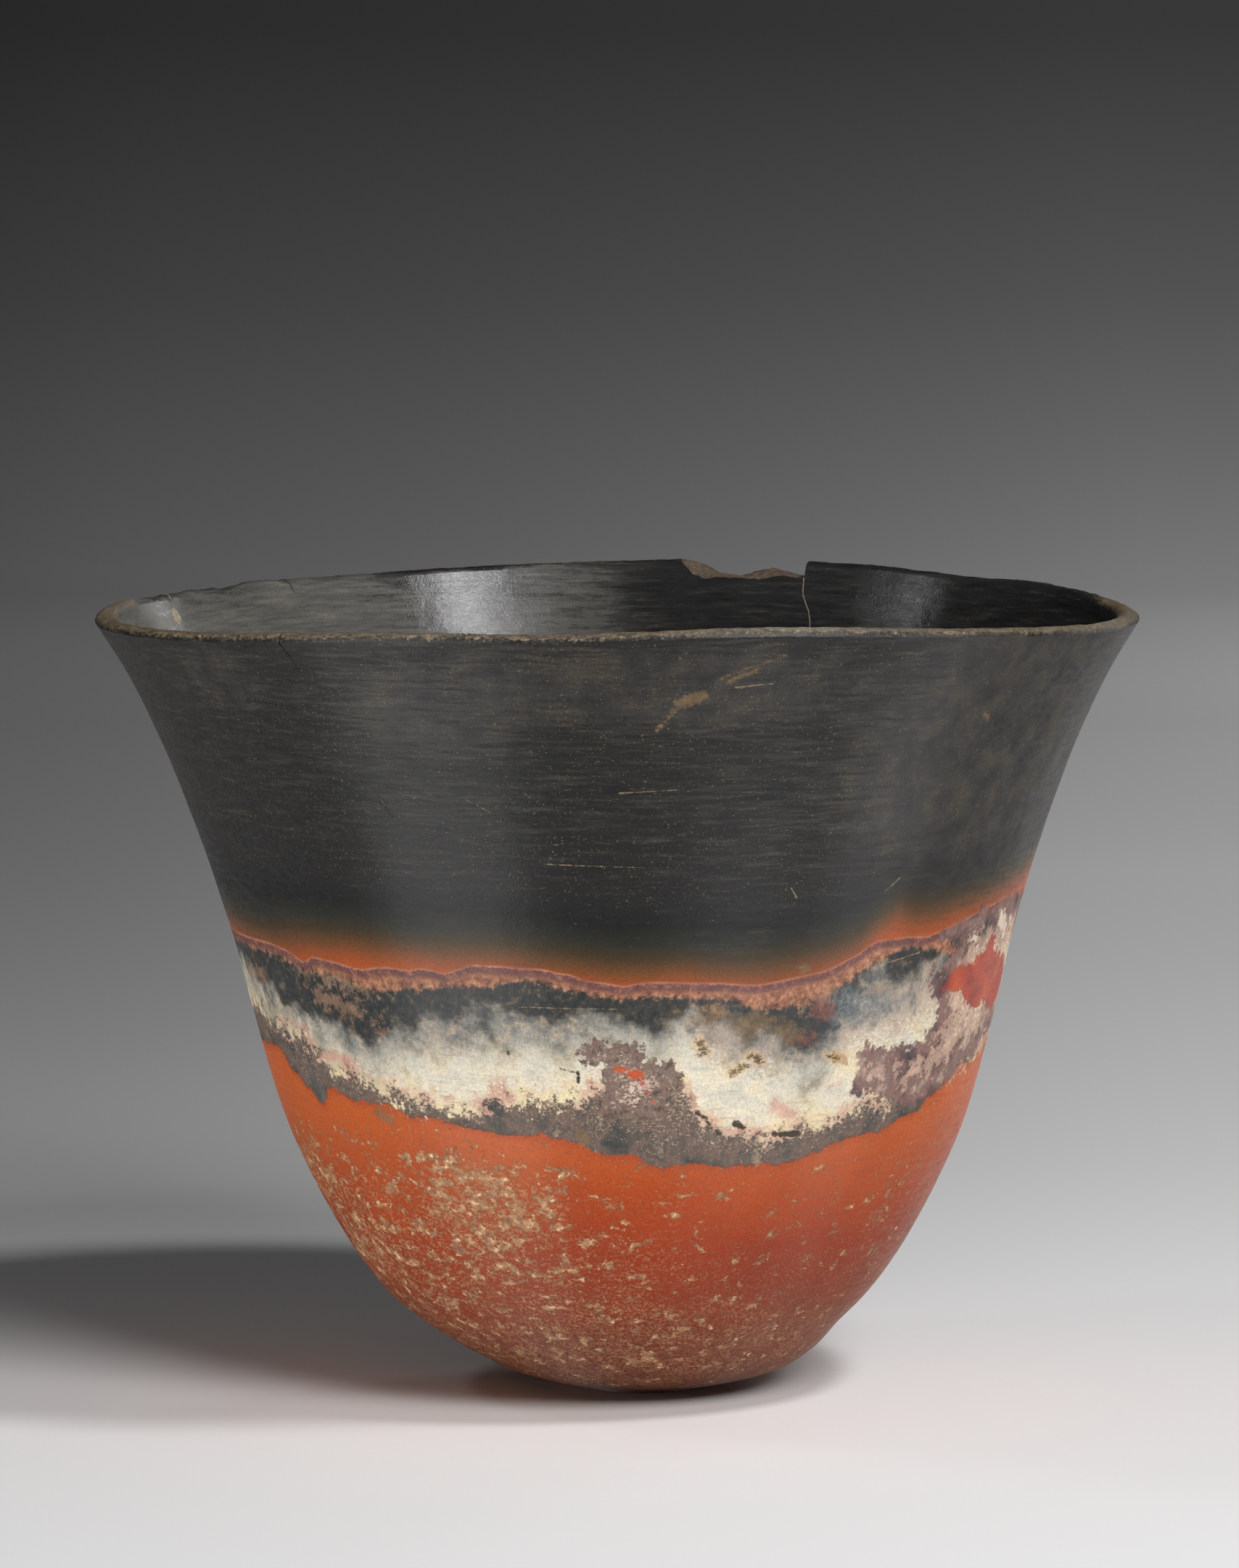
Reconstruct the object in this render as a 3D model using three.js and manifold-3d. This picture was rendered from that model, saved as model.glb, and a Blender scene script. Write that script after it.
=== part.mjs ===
// A hand-built, round-based beaker of black-topped red ware, mended at the back of its rim.
// Millimetres, +Z up. The origin is the middle of the small worn flat that the base rests on.
// An azimuth is in degrees round the axis: 0 faces the viewer (-Y) and 90 is the right side (+X).
import * as THREE from "three";
import { mergeVertices } from "three/addons/utils/BufferGeometryUtils.js";
import Module from "manifold-3d";

// Driving dimensions of the wall
const REST_RADIUS = 9;
const LIP_RADIUS = 71.3;
const LIP_HEIGHT = 105.9;
const LIP_THICKNESS = 2.5;
const LIP_WIDTH = 3.1;
const LIP_RISE = 1.1;
const MID_THICKNESS = 3.3;
const FLOOR_THICKNESS = 6;
const ROUND_STEPS = 72;
const OUTSIDE_STEPS = 24;
const INSIDE_STEPS = 16;
const LIP_STEPS = 3;

// Shares of the outside curve: where the inner floor turns up, and where the lip begins
const FLOOR_SHARE = 0.14;
const LIP_SHARE = 0.965;

// The outside of the wall, from the worn flat to the lip, as radius and height
const OUTSIDE_POINTS = [
  [REST_RADIUS, 0],
  [16.5, 1.9],
  [22.5, 4.5],
  [28.5, 9],
  [36.8, 18],
  [44, 31],
  [49.3, 46],
  [53.3, 62],
  [58.2, 78],
  [63.6, 92],
  [68.2, 101],
  [LIP_RADIUS, LIP_HEIGHT],
];

// The hand-made rim rises and dips: azimuth and height of its top
const RIM_POINTS = [
  [-90, 107.2],
  [-66, 106.4],
  [-50, 106.8],
  [-30, 107.9],
  [-12, 108.2],
  [4, 108.7],
  [16, 109],
  [30, 108.5],
  [52, 107.4],
  [72, 106.8],
  [96, 107],
  [114, 107.9],
  [134, 108.4],
  [148, 109.4],
  [160, 109.7],
  [172, 109.7],
  [188, 109.1],
  [207, 108.3],
  [227, 107.8],
  [240, 107.2],
  [270, 107.2],
];
const RIM_SWAY_FROM = 50;

// The axis leans to the left as it rises, and the heel bulges to the right of the worn flat
const LEAN = -0.0165;
const HEEL_BULGE = 2;
const HEEL_HEIGHT = 3;
const HEEL_REACH = 5;

// The mended sherd at the back of the rim: its two upright breaks and the break under it,
// as azimuths and heights, inside a stretch of wall that holds the whole sherd
const ABOVE_RIM = 120;
const STRETCH_START = 150;
const STRETCH_MIDDLE = 200;
const STRETCH_END = 250;
const RIGHT_BREAK = [
  [156.4, ABOVE_RIM],
  [156.4, 107.6],
  [156.1, 105.8],
  [155.8, 104.6],
  [155, 103],
  [154.4, 101.5],
  [153.6, 99],
  [154.6, 93],
  [152.8, 86],
  [156, 79],
];
const LOWER_BREAK = [
  [164, 74],
  [173, 70.5],
  [183, 71.5],
  [192, 67.5],
  [203, 66],
  [214, 68.5],
  [224, 71],
];
const LEFT_BREAK = [
  [235, 77],
  [241, 84],
  [245.5, 91],
  [248.5, 98],
  [248, 102.5],
  [247.4, 103.8],
  [246.5, 105.3],
  [246.7, 106.4],
  [245.9, 107.2],
  [245.9, ABOVE_RIM],
];
const CREVICE = 0.3;
const ADHESIVE_THICKNESS = 0.3;

// The chip that is missing from the sherd's rim, beside the right break
const CHIP_OUTLINE = [
  [154, 107.5],
  [157.8, 107.6],
  [159.4, 108],
  [161.3, 108.5],
  [163, 108.2],
  [165, 107.4],
  [167.7, 107.8],
  [169, 108.5],
  [170.6, 109.4],
  [171.6, ABOVE_RIM],
  [154, ABOVE_RIM],
];

// The pale filler let into the inner edge of the left break
const FILL_OUTLINE = [
  [247.6, 103.1],
  [248.4, 103.6],
  [247.9, 104.6],
  [246.9, 105.4],
  [246.2, 104.8],
  [246.4, 103.8],
];
const FILL_DEPTH = 1.2;
const FILL_MARGIN = 0.5;

// Radii between which a break's faces run, well inside and well outside the wall
const BREAK_INSIDE = 20;
const BREAK_OUTSIDE = 130;
const MEAN_BREAK_RADIUS = 64;

const RED_WARE = { color: 0x6b3527, roughness: 0.45, metalness: 0 };
const ADHESIVE = { color: 0xb8ab90, roughness: 0.35, metalness: 0 };
const FILLER = { color: 0xc9bda3, roughness: 0.85, metalness: 0 };

const radians = THREE.MathUtils.degToRad;
const smooth = THREE.MathUtils.smoothstep;

const wasm = await Module();
wasm.setup();

function axisShift(height) {
  const heel = Math.exp(-(((height - HEEL_HEIGHT) / HEEL_REACH) ** 2));
  const heelAtRest = Math.exp(-((HEEL_HEIGHT / HEEL_REACH) ** 2));
  return LEAN * height + HEEL_BULGE * (heel - heelAtRest);
}

// Height of the rim's top at an azimuth, eased from each point to the next
function rimHeight(azimuth) {
  const first = RIM_POINTS[0][0];
  const around = first + THREE.MathUtils.euclideanModulo(azimuth - first, 360);
  const next = RIM_POINTS.findIndex(([at]) => at > around);
  const [fromAt, fromHeight] = RIM_POINTS[next - 1];
  const [toAt, toHeight] = RIM_POINTS[next];
  return THREE.MathUtils.lerp(fromHeight, toHeight, smooth(around, fromAt, toAt));
}

function outsideCurve() {
  return new THREE.SplineCurve(
    OUTSIDE_POINTS.map(([radius, height]) => new THREE.Vector2(radius, height)),
  );
}

// Wall thickness by height: thick at the base, even up the wall, thinner at the lip
function thicknessAt(height) {
  const belly = THREE.MathUtils.lerp(
    FLOOR_THICKNESS,
    MID_THICKNESS,
    smooth(height, 0, 34),
  );
  return THREE.MathUtils.lerp(belly, LIP_THICKNESS, smooth(height, 70, LIP_HEIGHT));
}

// The outside curve moved inwards, square to itself, from the floor's middle to the lip
function insidePoints(thickness) {
  const curve = outsideCurve();
  const points = [new THREE.Vector2(0, thickness(0))];
  for (let step = 1; step <= INSIDE_STEPS; step++) {
    const at = THREE.MathUtils.lerp(FLOOR_SHARE, LIP_SHARE, step / INSIDE_STEPS);
    const point = curve.getPoint(at);
    const along = curve.getTangent(at);
    const depth = thickness(point.y);
    points.push(new THREE.Vector2(point.x - along.y * depth, point.y + along.x * depth));
  }
  return points;
}

// The rounded lip, from the outside of the wall over to the inside
function lipPoints() {
  const half = LIP_WIDTH / 2;
  const arc = new THREE.EllipseCurve(
    LIP_RADIUS - half, LIP_HEIGHT, half, LIP_RISE, 0, Math.PI, false, 0,
  );
  return arc.getPoints(LIP_STEPS + 1).slice(1, -1);
}

// Moves a turned shape's points to the leaning axis and the uneven rim
function makeHandBuilt(geometry) {
  const position = geometry.attributes.position;
  const topOfLip = LIP_HEIGHT + LIP_RISE;
  for (let i = 0; i < position.count; i++) {
    const [x, y, z] = [position.getX(i), position.getY(i), position.getZ(i)];
    const azimuth = THREE.MathUtils.radToDeg(Math.atan2(x, -y));
    const sway = (rimHeight(azimuth) - topOfLip) * smooth(z, RIM_SWAY_FROM, LIP_HEIGHT);
    position.setXYZ(i, x + axisShift(z), y, z + sway);
  }
  return geometry;
}

function toSolid(geometry) {
  const bare = geometry.index ? geometry.toNonIndexed() : geometry.clone();
  bare.deleteAttribute("normal");
  bare.deleteAttribute("uv");
  const merged = mergeVertices(bare, 1e-4);
  const mesh = new wasm.Mesh({
    numProp: 3,
    vertProperties: merged.attributes.position.array,
    triVerts: new Uint32Array(merged.index.array),
  });
  return new wasm.Manifold(mesh);
}

function toGeometry(solid) {
  const mesh = solid.getMesh();
  const geometry = new THREE.BufferGeometry();
  const position = new THREE.BufferAttribute(new Float32Array(mesh.vertProperties), 3);
  geometry.setAttribute("position", position);
  geometry.setIndex(new THREE.BufferAttribute(new Uint32Array(mesh.triVerts), 1));
  geometry.computeVertexNormals();
  return geometry;
}

// A profile of radius and height, turned about the axis and made uneven by hand
function turned(profile) {
  const lathe = new THREE.LatheGeometry(profile, ROUND_STEPS);
  lathe.rotateX(Math.PI / 2);
  return toSolid(makeHandBuilt(lathe));
}

// The whole fired pot, before it broke
function wholePot() {
  const outside = outsideCurve().getPoints(OUTSIDE_STEPS);
  const inside = insidePoints(thicknessAt).reverse();
  return turned([new THREE.Vector2(0, 0), ...outside, ...lipPoints(), ...inside]);
}

// The cavity grown outwards into the wall by the filler's depth
function cavityGrownBy(depth) {
  const inside = insidePoints((height) => thicknessAt(height) - depth);
  const top = inside[inside.length - 1];
  const above = [new THREE.Vector2(top.x + 3, top.y + 6), new THREE.Vector2(0, top.y + 6)];
  return turned([...inside, ...above]);
}

// A closed outline of azimuths and heights, run outwards from the axis as a wedge
function wedge(outline) {
  const flat = outline.map(([azimuth, height]) => new THREE.Vector2(azimuth, height));
  const triangles = THREE.ShapeUtils.triangulateShape(flat, []);
  const count = flat.length;
  const corners = [BREAK_INSIDE, BREAK_OUTSIDE].flatMap((radius) =>
    outline.flatMap(([azimuth, height]) => {
      const turn = radians(azimuth);
      return [radius * Math.sin(turn), -radius * Math.cos(turn), height];
    }),
  );
  const faces = [];
  for (const [a, b, c] of triangles) {
    faces.push(a, c, b, a + count, b + count, c + count);
  }
  for (let i = 0; i < count; i++) {
    const next = (i + 1) % count;
    faces.push(i, next, next + count, i, next + count, i + count);
  }
  const geometry = new THREE.BufferGeometry();
  geometry.setAttribute("position", new THREE.Float32BufferAttribute(corners, 3));
  geometry.setIndex(faces);
  return toSolid(geometry);
}

// The sherd's outline with its breaks moved outwards by a distance along the wall
function sherdOutline(grow) {
  const turn = THREE.MathUtils.radToDeg(grow / MEAN_BREAK_RADIUS);
  return [
    ...RIGHT_BREAK.map(([azimuth, height]) => [azimuth - turn, height]),
    ...LOWER_BREAK.map(([azimuth, height]) => [azimuth, height - grow]),
    ...LEFT_BREAK.map(([azimuth, height]) => [azimuth + turn, height]),
  ];
}

// An outline whose corners are moved away from its middle, for the recess round the filler
function grownOutline(outline, grow) {
  const mid = [0, 1].map((k) => outline.reduce((sum, at) => sum + at[k], 0) / outline.length);
  return outline.map(([azimuth, height]) => {
    const across = radians(azimuth - mid[0]) * MEAN_BREAK_RADIUS;
    const scale = 1 + grow / Math.hypot(across, height - mid[1]);
    return [mid[0] + (azimuth - mid[0]) * scale, mid[1] + (height - mid[1]) * scale];
  });
}

// The wall between two azimuths, above a height
function wallAbove(height, fromAzimuth, toAzimuth) {
  return wedge([
    [fromAzimuth, height],
    [toAzimuth, height],
    [toAzimuth, ABOVE_RIM],
    [fromAzimuth, ABOVE_RIM],
  ]);
}

const pot = wholePot();
const fillPlace = wedge(FILL_OUTLINE).intersect(cavityGrownBy(FILL_DEPTH));
const fillRecess = wedge(grownOutline(FILL_OUTLINE, FILL_MARGIN)).intersect(
  cavityGrownBy(FILL_DEPTH + FILL_MARGIN),
);

// The film of glue in the breaks, all round the sherd, clear of the clay on both sides
const filmWidth = CREVICE + ADHESIVE_THICKNESS;
const film = wedge(sherdOutline(filmWidth))
  .subtract(wedge(sherdOutline(CREVICE)))
  .intersect(pot)
  .subtract(fillRecess);

// Heights at which the lower break turns up into each upright one
const rightCorner = RIGHT_BREAK.at(-1)[1];
const leftCorner = LEFT_BREAK[0][1];
const chip = wedge(CHIP_OUTLINE);

const pieces = {
  vessel_body: [
    pot.subtract(wedge(sherdOutline(filmWidth + CREVICE))).subtract(fillRecess),
    RED_WARE,
  ],
  rear_rim_sherd: [
    pot.intersect(wedge(sherdOutline(0))).subtract(chip).subtract(fillRecess),
    RED_WARE,
  ],
  right_join_adhesive: [
    film
      .intersect(wallAbove(rightCorner + CREVICE, STRETCH_START, STRETCH_MIDDLE))
      .subtract(chip),
    ADHESIVE,
  ],
  lower_join_adhesive: [
    film
      .subtract(wallAbove(rightCorner - CREVICE, STRETCH_START, STRETCH_MIDDLE))
      .subtract(wallAbove(leftCorner - CREVICE, STRETCH_MIDDLE, STRETCH_END)),
    ADHESIVE,
  ],
  left_join_adhesive: [
    film.intersect(wallAbove(leftCorner + CREVICE, STRETCH_MIDDLE, STRETCH_END)),
    ADHESIVE,
  ],
  left_join_fill: [pot.intersect(fillPlace), FILLER],
};

const beaker = new THREE.Group();
for (const [name, [solid, finish]] of Object.entries(pieces)) {
  const mesh = new THREE.Mesh(toGeometry(solid), new THREE.MeshStandardMaterial(finish));
  mesh.name = name;
  beaker.add(mesh);
}

export default beaker;
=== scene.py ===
import math
from collections import namedtuple

import bmesh
import bpy
import numpy as np
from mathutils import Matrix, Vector, noise


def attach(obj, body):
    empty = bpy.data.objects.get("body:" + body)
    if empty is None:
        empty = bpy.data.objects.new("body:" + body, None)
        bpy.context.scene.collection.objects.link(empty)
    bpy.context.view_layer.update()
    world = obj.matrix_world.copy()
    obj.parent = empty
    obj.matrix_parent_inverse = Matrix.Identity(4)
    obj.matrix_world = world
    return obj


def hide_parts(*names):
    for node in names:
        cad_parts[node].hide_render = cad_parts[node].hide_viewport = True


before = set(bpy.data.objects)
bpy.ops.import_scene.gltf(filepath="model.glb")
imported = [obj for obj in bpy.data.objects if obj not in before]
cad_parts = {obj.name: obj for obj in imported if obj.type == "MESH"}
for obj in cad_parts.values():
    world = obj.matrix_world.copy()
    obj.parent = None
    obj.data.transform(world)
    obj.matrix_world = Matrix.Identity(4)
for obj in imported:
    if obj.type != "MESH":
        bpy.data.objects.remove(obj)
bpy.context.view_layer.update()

# A hand-built, burnished beaker: fired black at the rim and inside and red below, with a
# band of ash and crust between, and mended at the back of its rim. Sizes are millimetres
# until a point is written into a mesh. An azimuth is in degrees round the axis: 0 faces
# the camera (-Y) and 90 is its right (+X).
MM = 0.001
ROUND = 360

# The wall
REST_RADIUS = 9.0
LIP_RADIUS = 71.3
LIP_HEIGHT = 105.9
LIP_WIDTH = 3.1
LIP_RISE = 1.1
LIP_THICKNESS = 2.5
MID_THICKNESS = 3.3
FLOOR_THICKNESS = 6.0
THICK_BELOW = 34
THIN_ABOVE = 70
INSIDE_STOPS = 104.0
FLOOR_EDGE = 11
COARSE_BELOW = 82
COLUMNS = 420
OUTSIDE_SPACING = 0.92
INSIDE_SPACING = 2.0
LIP_STEPS = 9

# The outside of the wall from the worn flat to the lip, as radius and height
OUTSIDE = [
    (REST_RADIUS, 0), (13.1, 1.0), (16.6, 1.9), (20.1, 3.1), (22.5, 4.5), (25.5, 6.5),
    (28.45, 9), (32.9, 13), (36.8, 18), (40.5, 24), (44, 31), (46.9, 38), (49.3, 46),
    (51.4, 54), (53.3, 62), (55.6, 70), (58.2, 78), (61.1, 86), (63.6, 92), (66, 97),
    (68.2, 101), (LIP_RADIUS, LIP_HEIGHT),
]

# The rim rises and dips, as azimuth and height of its top
RIM = [
    (-90, 106.8), (-78, 106.4), (-67, 106.4), (-51, 106.7), (-40, 107.3), (-27, 108),
    (-17, 108.2), (-7, 108.2), (2, 108.6), (10, 108.9), (16, 109.05), (26, 108.7),
    (31, 108.4), (52, 107.35), (64, 106.9), (73, 106.8), (94, 107), (103, 107.3),
    (114, 107.9), (122, 108.4), (134, 108.35), (145, 109.25), (150, 109.5), (156, 109.6),
    (165, 109.75), (172, 109.7), (176, 109.5), (188, 109.1), (197, 108.8), (207, 108.3),
    (217, 107.9), (228, 107.8), (233, 107.2), (239, 107.25), (246, 107), (261, 107.2),
]
RIM_SWAYS_ABOVE = 50.0
ROUGH_RIM = (222.0, 248.0)

# The axis leans to the left as it rises, and the heel bulges to the right of the worn flat
LEAN = -0.0165
HEEL_BULGE = 2.0
HEEL_HEIGHT = 3.0
HEEL_REACH = 5.0

# How long the ripples of the hand-built wall are
BROAD_RIPPLE = 34
BEATEN_RIPPLE = 11
FINE_RIPPLE = 2.4
NICK = 1.1

# The three breaks round the mended sherd, as azimuth and height
ABOVE_RIM = 120.0
RIGHT_BREAK = [
    (156.4, ABOVE_RIM), (156.4, 107.6), (156.1, 105.8), (155.8, 104.6), (155, 103),
    (154.4, 101.5), (153.6, 99), (154.6, 93), (152.8, 86), (156, 79),
]
LOWER_BREAK = [
    (164, 74), (173, 70.5), (183, 71.5), (192, 67.5), (203, 66), (214, 68.5), (224, 71),
]
LEFT_BREAK = [
    (235, 77), (241, 84), (245.5, 91), (248.5, 98), (248, 102.5), (247.4, 103.8),
    (246.5, 105.3), (246.7, 106.4), (245.9, 107.2), (245.9, ABOVE_RIM),
]
BREAK_MM_PER_DEGREE = math.radians(66)
BREAK_RADII = (30, 60, 62, 64, 66, 68, 70, 72, 74, 140)
BREAK_SPACING = 0.8
JOIN_GAP = 0.16
GLUE_WIDTH = 0.13

# The chip lost from the sherd's rim beside the right break, as azimuth, height and how far
# its broken face falls towards the inside, per millimetre of wall
CHIP = [
    (153.5, 107.5, 0.05), (157.8, 107.6, 0.05), (159.4, 108, 0.1), (161.3, 108.5, 0.35),
    (163, 108.2, 0.3), (165, 107.4, 0.05), (167.7, 107.8, 0.15), (169, 108.5, 0.4),
    (170.6, 109.4, 0.5), (172.6, 110.6, 0.3),
]
CHIP_RADII = (64.0, 78.0)
CHIP_GRAIN = 0.4

# The filler let into the left break on the inside
FILLER = [
    (247.6, 103.1), (248.4, 103.6), (247.9, 104.6), (246.9, 105.4), (246.2, 104.8),
    (246.4, 103.8),
]
FILLER_RADII = (55.0, 68.3)

# Cracks that run down through the wall from the rim, as azimuth, height and half width
CRACKS = [
    [(-37.9, ABOVE_RIM, 0.22), (-37.9, 106.3, 0.2), (-37.6, 105.8, 0.1), (-37.1, 104.2, 0.06),
     (-36.7, 102.3, 0.02)],
    [(223.4, ABOVE_RIM, 0.12), (223.4, 107.3, 0.1), (223.2, 106.0, 0.03)],
    [(-16.2, ABOVE_RIM, 0.5), (-16.1, 108.1, 0.35), (-15.9, 107.7, 0.1)],
]

# Lines that part one finish from the next round the outer wall, as azimuth and height.
# Each is named for what lies above it.
LINES = {
    "above_firing": [
        (-80, 66.5), (-60, 66.2), (-40, 66.5), (-20, 66.2), (-10, 65.6), (0, 64.6), (10, 64.2),
        (20, 64), (26, 64.4), (30, 65.2), (35, 67), (38, 69.8), (41, 71.6), (44, 70.8),
        (50, 70.4), (60, 71.6), (70, 73.2), (80, 74.5), (100, 76), (125, 73), (150, 69),
        (180, 66), (210, 68), (240, 69), (262, 67.5),
    ],
    "above_line": [
        (-80, 63.9), (-62, 63.8), (-57, 63.3), (-55.5, 62.8), (-53, 61.9), (-52, 62.2),
        (-50.5, 62.9), (-48, 62.7), (-45, 62.5), (-42, 62), (-40, 61.9), (-38, 62.3),
        (-35, 62.6), (-32, 62.3), (-30, 62.7), (-28, 62.6), (-26, 62.2), (-24, 62.8),
        (-22, 63.5), (-20.5, 63.7), (-19.5, 63.5), (-18, 63.6), (-15, 63.4), (-11, 63.3),
        (-9, 62.8), (-7.5, 62.7), (-5, 61.8), (-2.5, 61.6), (0, 61.1), (2.5, 61.6), (5, 61.7),
        (10, 61.5), (14, 61.4), (18, 61), (20, 61), (25, 61.7), (30, 62.4), (35, 64.3),
        (38, 66), (40, 66), (44, 66.1), (48, 65.8), (52, 66.6), (55, 67.2), (58, 67.8),
        (62, 68.5), (66, 69), (70, 69.4), (75, 68.8), (80, 68.8), (95, 70.5), (108, 71),
        (118, 67.5), (131, 66), (147, 62.4), (160, 62.9), (172, 60.8), (190, 61.6),
        (204, 63.6), (221, 63.2), (235, 65), (249, 63.6), (262, 64.4), (273, 63.7),
    ],
    "above_soot": [
        (-80, 63), (-72, 63), (-68, 62.7), (-64, 63), (-60, 62.8), (-56, 61.9), (-52, 61.3),
        (-48, 61.3), (-45, 60.9), (-42, 60.2), (-40, 59.6), (-38, 59.5), (-35, 60), (-30, 60.4),
        (-25, 60.9), (-20, 61.1), (-17, 61.8), (-14, 62.2), (-12, 62), (-9, 61.2), (-5, 60.6),
        (-2, 60.1), (0, 59.8), (3, 59.9), (5, 60.3), (8, 60), (11, 59.6), (13, 59.9),
        (16, 59.3), (18, 58.3), (20, 58.1), (24, 58), (28, 58.6), (30, 59.7), (33, 60.3),
        (35, 61.8), (36.5, 62.6), (39, 63.7), (41, 64), (43, 64.9), (46, 65.2), (48, 64.4),
        (51, 64.3), (54, 63.3), (56, 62.4), (90, 62.4), (104, 63.5), (115, 65.6), (130, 63.6),
        (146, 60.6), (160, 61), (172, 58.9), (190, 59.6), (204, 61.8), (221, 61.2), (235, 63),
        (249, 61.4), (262, 62.8), (273, 62.6),
    ],
    "above_char": [
        (-80, 60.5), (-75, 60.3), (-71, 57.8), (-65, 57), (-60, 56.3), (-57, 55.4), (-54, 53.8),
        (-50, 53.8), (-46, 52.5), (-42, 51.2), (-39, 53.2), (-36, 54.3), (-33, 54.2),
        (-30, 55.8), (-25, 55.8), (-20, 55.8), (-15, 56.3), (-10, 55.7), (-6, 56.3), (-3, 57.2),
        (0, 57), (3, 55.8), (6, 55.8), (8, 56.8), (11, 57.6), (15, 56.6), (20, 54.6), (24, 54),
        (26, 52.4), (28, 51), (31, 51.4), (33, 53.5), (34.5, 57), (36.5, 60.2), (39, 61.2),
        (42, 60.5), (45, 61.8), (49, 62.6), (54, 62.6), (57, 63), (90, 63), (104, 62),
        (118, 58.6), (133, 56), (150, 55.6), (165, 52.4), (183, 54.2), (200, 53), (216, 56.6),
        (234, 55.4), (250, 58.4), (270, 59.8),
    ],
    "above_flakes": [
        (-80, 53.6), (-75, 53.4), (-72, 53.1), (-70, 52.6), (-66, 52.1), (-63, 51.8),
        (-60, 51.3), (-57, 50.8), (-55.5, 49.4), (-53.5, 48.2), (-52, 47.2), (-50, 47.3),
        (-47, 46.9), (-45, 46.3), (-42, 45), (-40, 44.8), (-37, 44.4), (-35, 43.9), (-32, 44),
        (-29, 43.2), (-26, 42.5), (-24, 43.4), (-22, 44.3), (-20, 45.5), (-18, 45.3),
        (-15, 44.8), (-13, 44.7), (-10, 45.2), (-8, 45.7), (-6, 46), (9.5, 47), (10, 44.5),
        (11, 43.5), (12.5, 41.5), (14.5, 41), (16, 40.5), (18, 40.8), (20, 39.6), (22, 39.4),
        (24, 39.6), (26, 40.4), (28, 41.4), (31, 40.8), (34, 41), (36, 41.6), (38, 42.4),
        (41, 42.8), (45, 42.4), (47, 43.5), (55, 45), (80, 48), (97, 52), (112, 49), (126, 46.5),
        (141, 46), (158, 42.8), (174, 44.6), (190, 43.2), (206, 46.4), (224, 47), (240, 50),
        (256, 50.6), (271, 53),
    ],
    "above_scab": [
        (-80, 48.5), (-75, 48.8), (-70, 49.1), (-68, 48.6), (-66.5, 47.4), (-66, 46),
        (-63.5, 45.9), (-62, 44.4), (-60, 44), (-58.5, 42.6), (-57, 42.2), (-56, 42.7),
        (-55.5, 44.2), (-52, 44.6), (-50, 44.1), (-48, 43.3), (-45, 43.5), (-40, 43.6),
        (-38, 43.2), (-36, 41.9), (-33, 42.6), (-30, 41.8), (-25, 41.3), (-20, 40.8),
        (-17, 40.5), (-14, 40.9), (-11, 40.3), (-9, 40), (-7.5, 39.6), (-6, 39.2), (-4.5, 38.5),
        (-3, 38), (0, 38), (2, 37.9), (3, 37), (5.5, 36.3), (8, 36.7), (10, 36.6), (12, 37),
        (15, 36.3), (27, 36.3), (30, 37), (33, 37.6), (35, 38.3), (37, 38.3), (39, 39.5),
        (45, 39.5), (48, 40.3), (50, 41), (53, 41.1), (55, 42), (57, 43.6), (60, 44), (63, 45.5),
        (66, 47), (69, 46.6), (71, 46.6), (73, 47.6), (75, 49.6), (77, 50), (80, 50.5),
        (94, 47), (103, 46.6), (112, 43.4), (121, 43.8), (131, 41.2), (146, 41.8), (159, 38.6),
        (171, 40.2), (184, 38.8), (198, 41), (211, 40.4), (226, 43.6), (238, 43), (250, 46.2),
        (263, 46.6), (273, 48.2),
    ],
}

# Patches of another finish on the outer wall, as azimuth and height
PATCHES = {
    "mauve_island": [
        (-6.8, 50.3), (-6.8, 53), (-5, 54), (-2.5, 54.4), (0.5, 54.2), (3, 53.2), (4, 51.8),
        (7, 51), (8.6, 49.8), (9.8, 48), (9, 47), (7.5, 46.5), (7, 45), (6.3, 42.6), (3, 42.6),
        (-1, 42.4), (-4.5, 43), (-5, 45.5), (-3.6, 47.5), (-4, 49.6),
    ],
    "red_streak": [
        (-2.6, 50.6), (-1, 50.4), (1, 50), (2.6, 49.8), (3, 48.6), (3.6, 47), (4.4, 45.5),
        (4, 45.2), (3, 46.8), (2.4, 48.3), (0.8, 48.9), (-1.2, 49.6),
    ],
    "right_crust": [
        (50, 66), (53, 66.8), (58, 67.6), (63, 68.6), (70, 69.2), (80, 68.8), (90, 68), (95, 60),
        (90, 50), (80, 50), (76, 50), (72, 47), (66, 47), (60, 44.5), (55, 43), (48, 43),
        (44, 44.3), (41, 45), (38, 45.5), (37.3, 47), (37.5, 50), (39, 51.6), (42, 51.6),
        (44, 50.8), (46, 51), (49, 51.2), (52, 52.5), (55, 54.5), (52.5, 57.5), (50, 59),
        (51.5, 61.5), (54.5, 62), (56, 63.5), (54, 65),
    ],
    "red_window": [
        (53, 57.6), (55, 60.2), (57.5, 61.3), (61, 61.4), (64, 61.8), (66.5, 63.6), (68, 64.8),
        (70, 63), (74, 61.8), (79, 60.5), (84, 58.5), (83, 54.5), (77, 53), (73, 53.4),
        (70, 54.3), (66, 53.9), (63, 55), (60, 56.9), (57, 57.7),
    ],
    "blue_patch": [
        (33, 59), (36, 59.8), (40, 60), (43, 59), (46, 58), (49, 57), (48, 55.5), (44, 55.2),
        (41, 55), (38, 54), (35, 54.3), (33, 55), (30, 53),
    ],
    "olive_smoke": [
        (8, 57), (12, 57.6), (16, 57), (22, 56.5), (27, 54.5), (27, 53), (23, 53.6), (19, 54.4),
        (14, 55), (10, 55.6),
    ],
}

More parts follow.
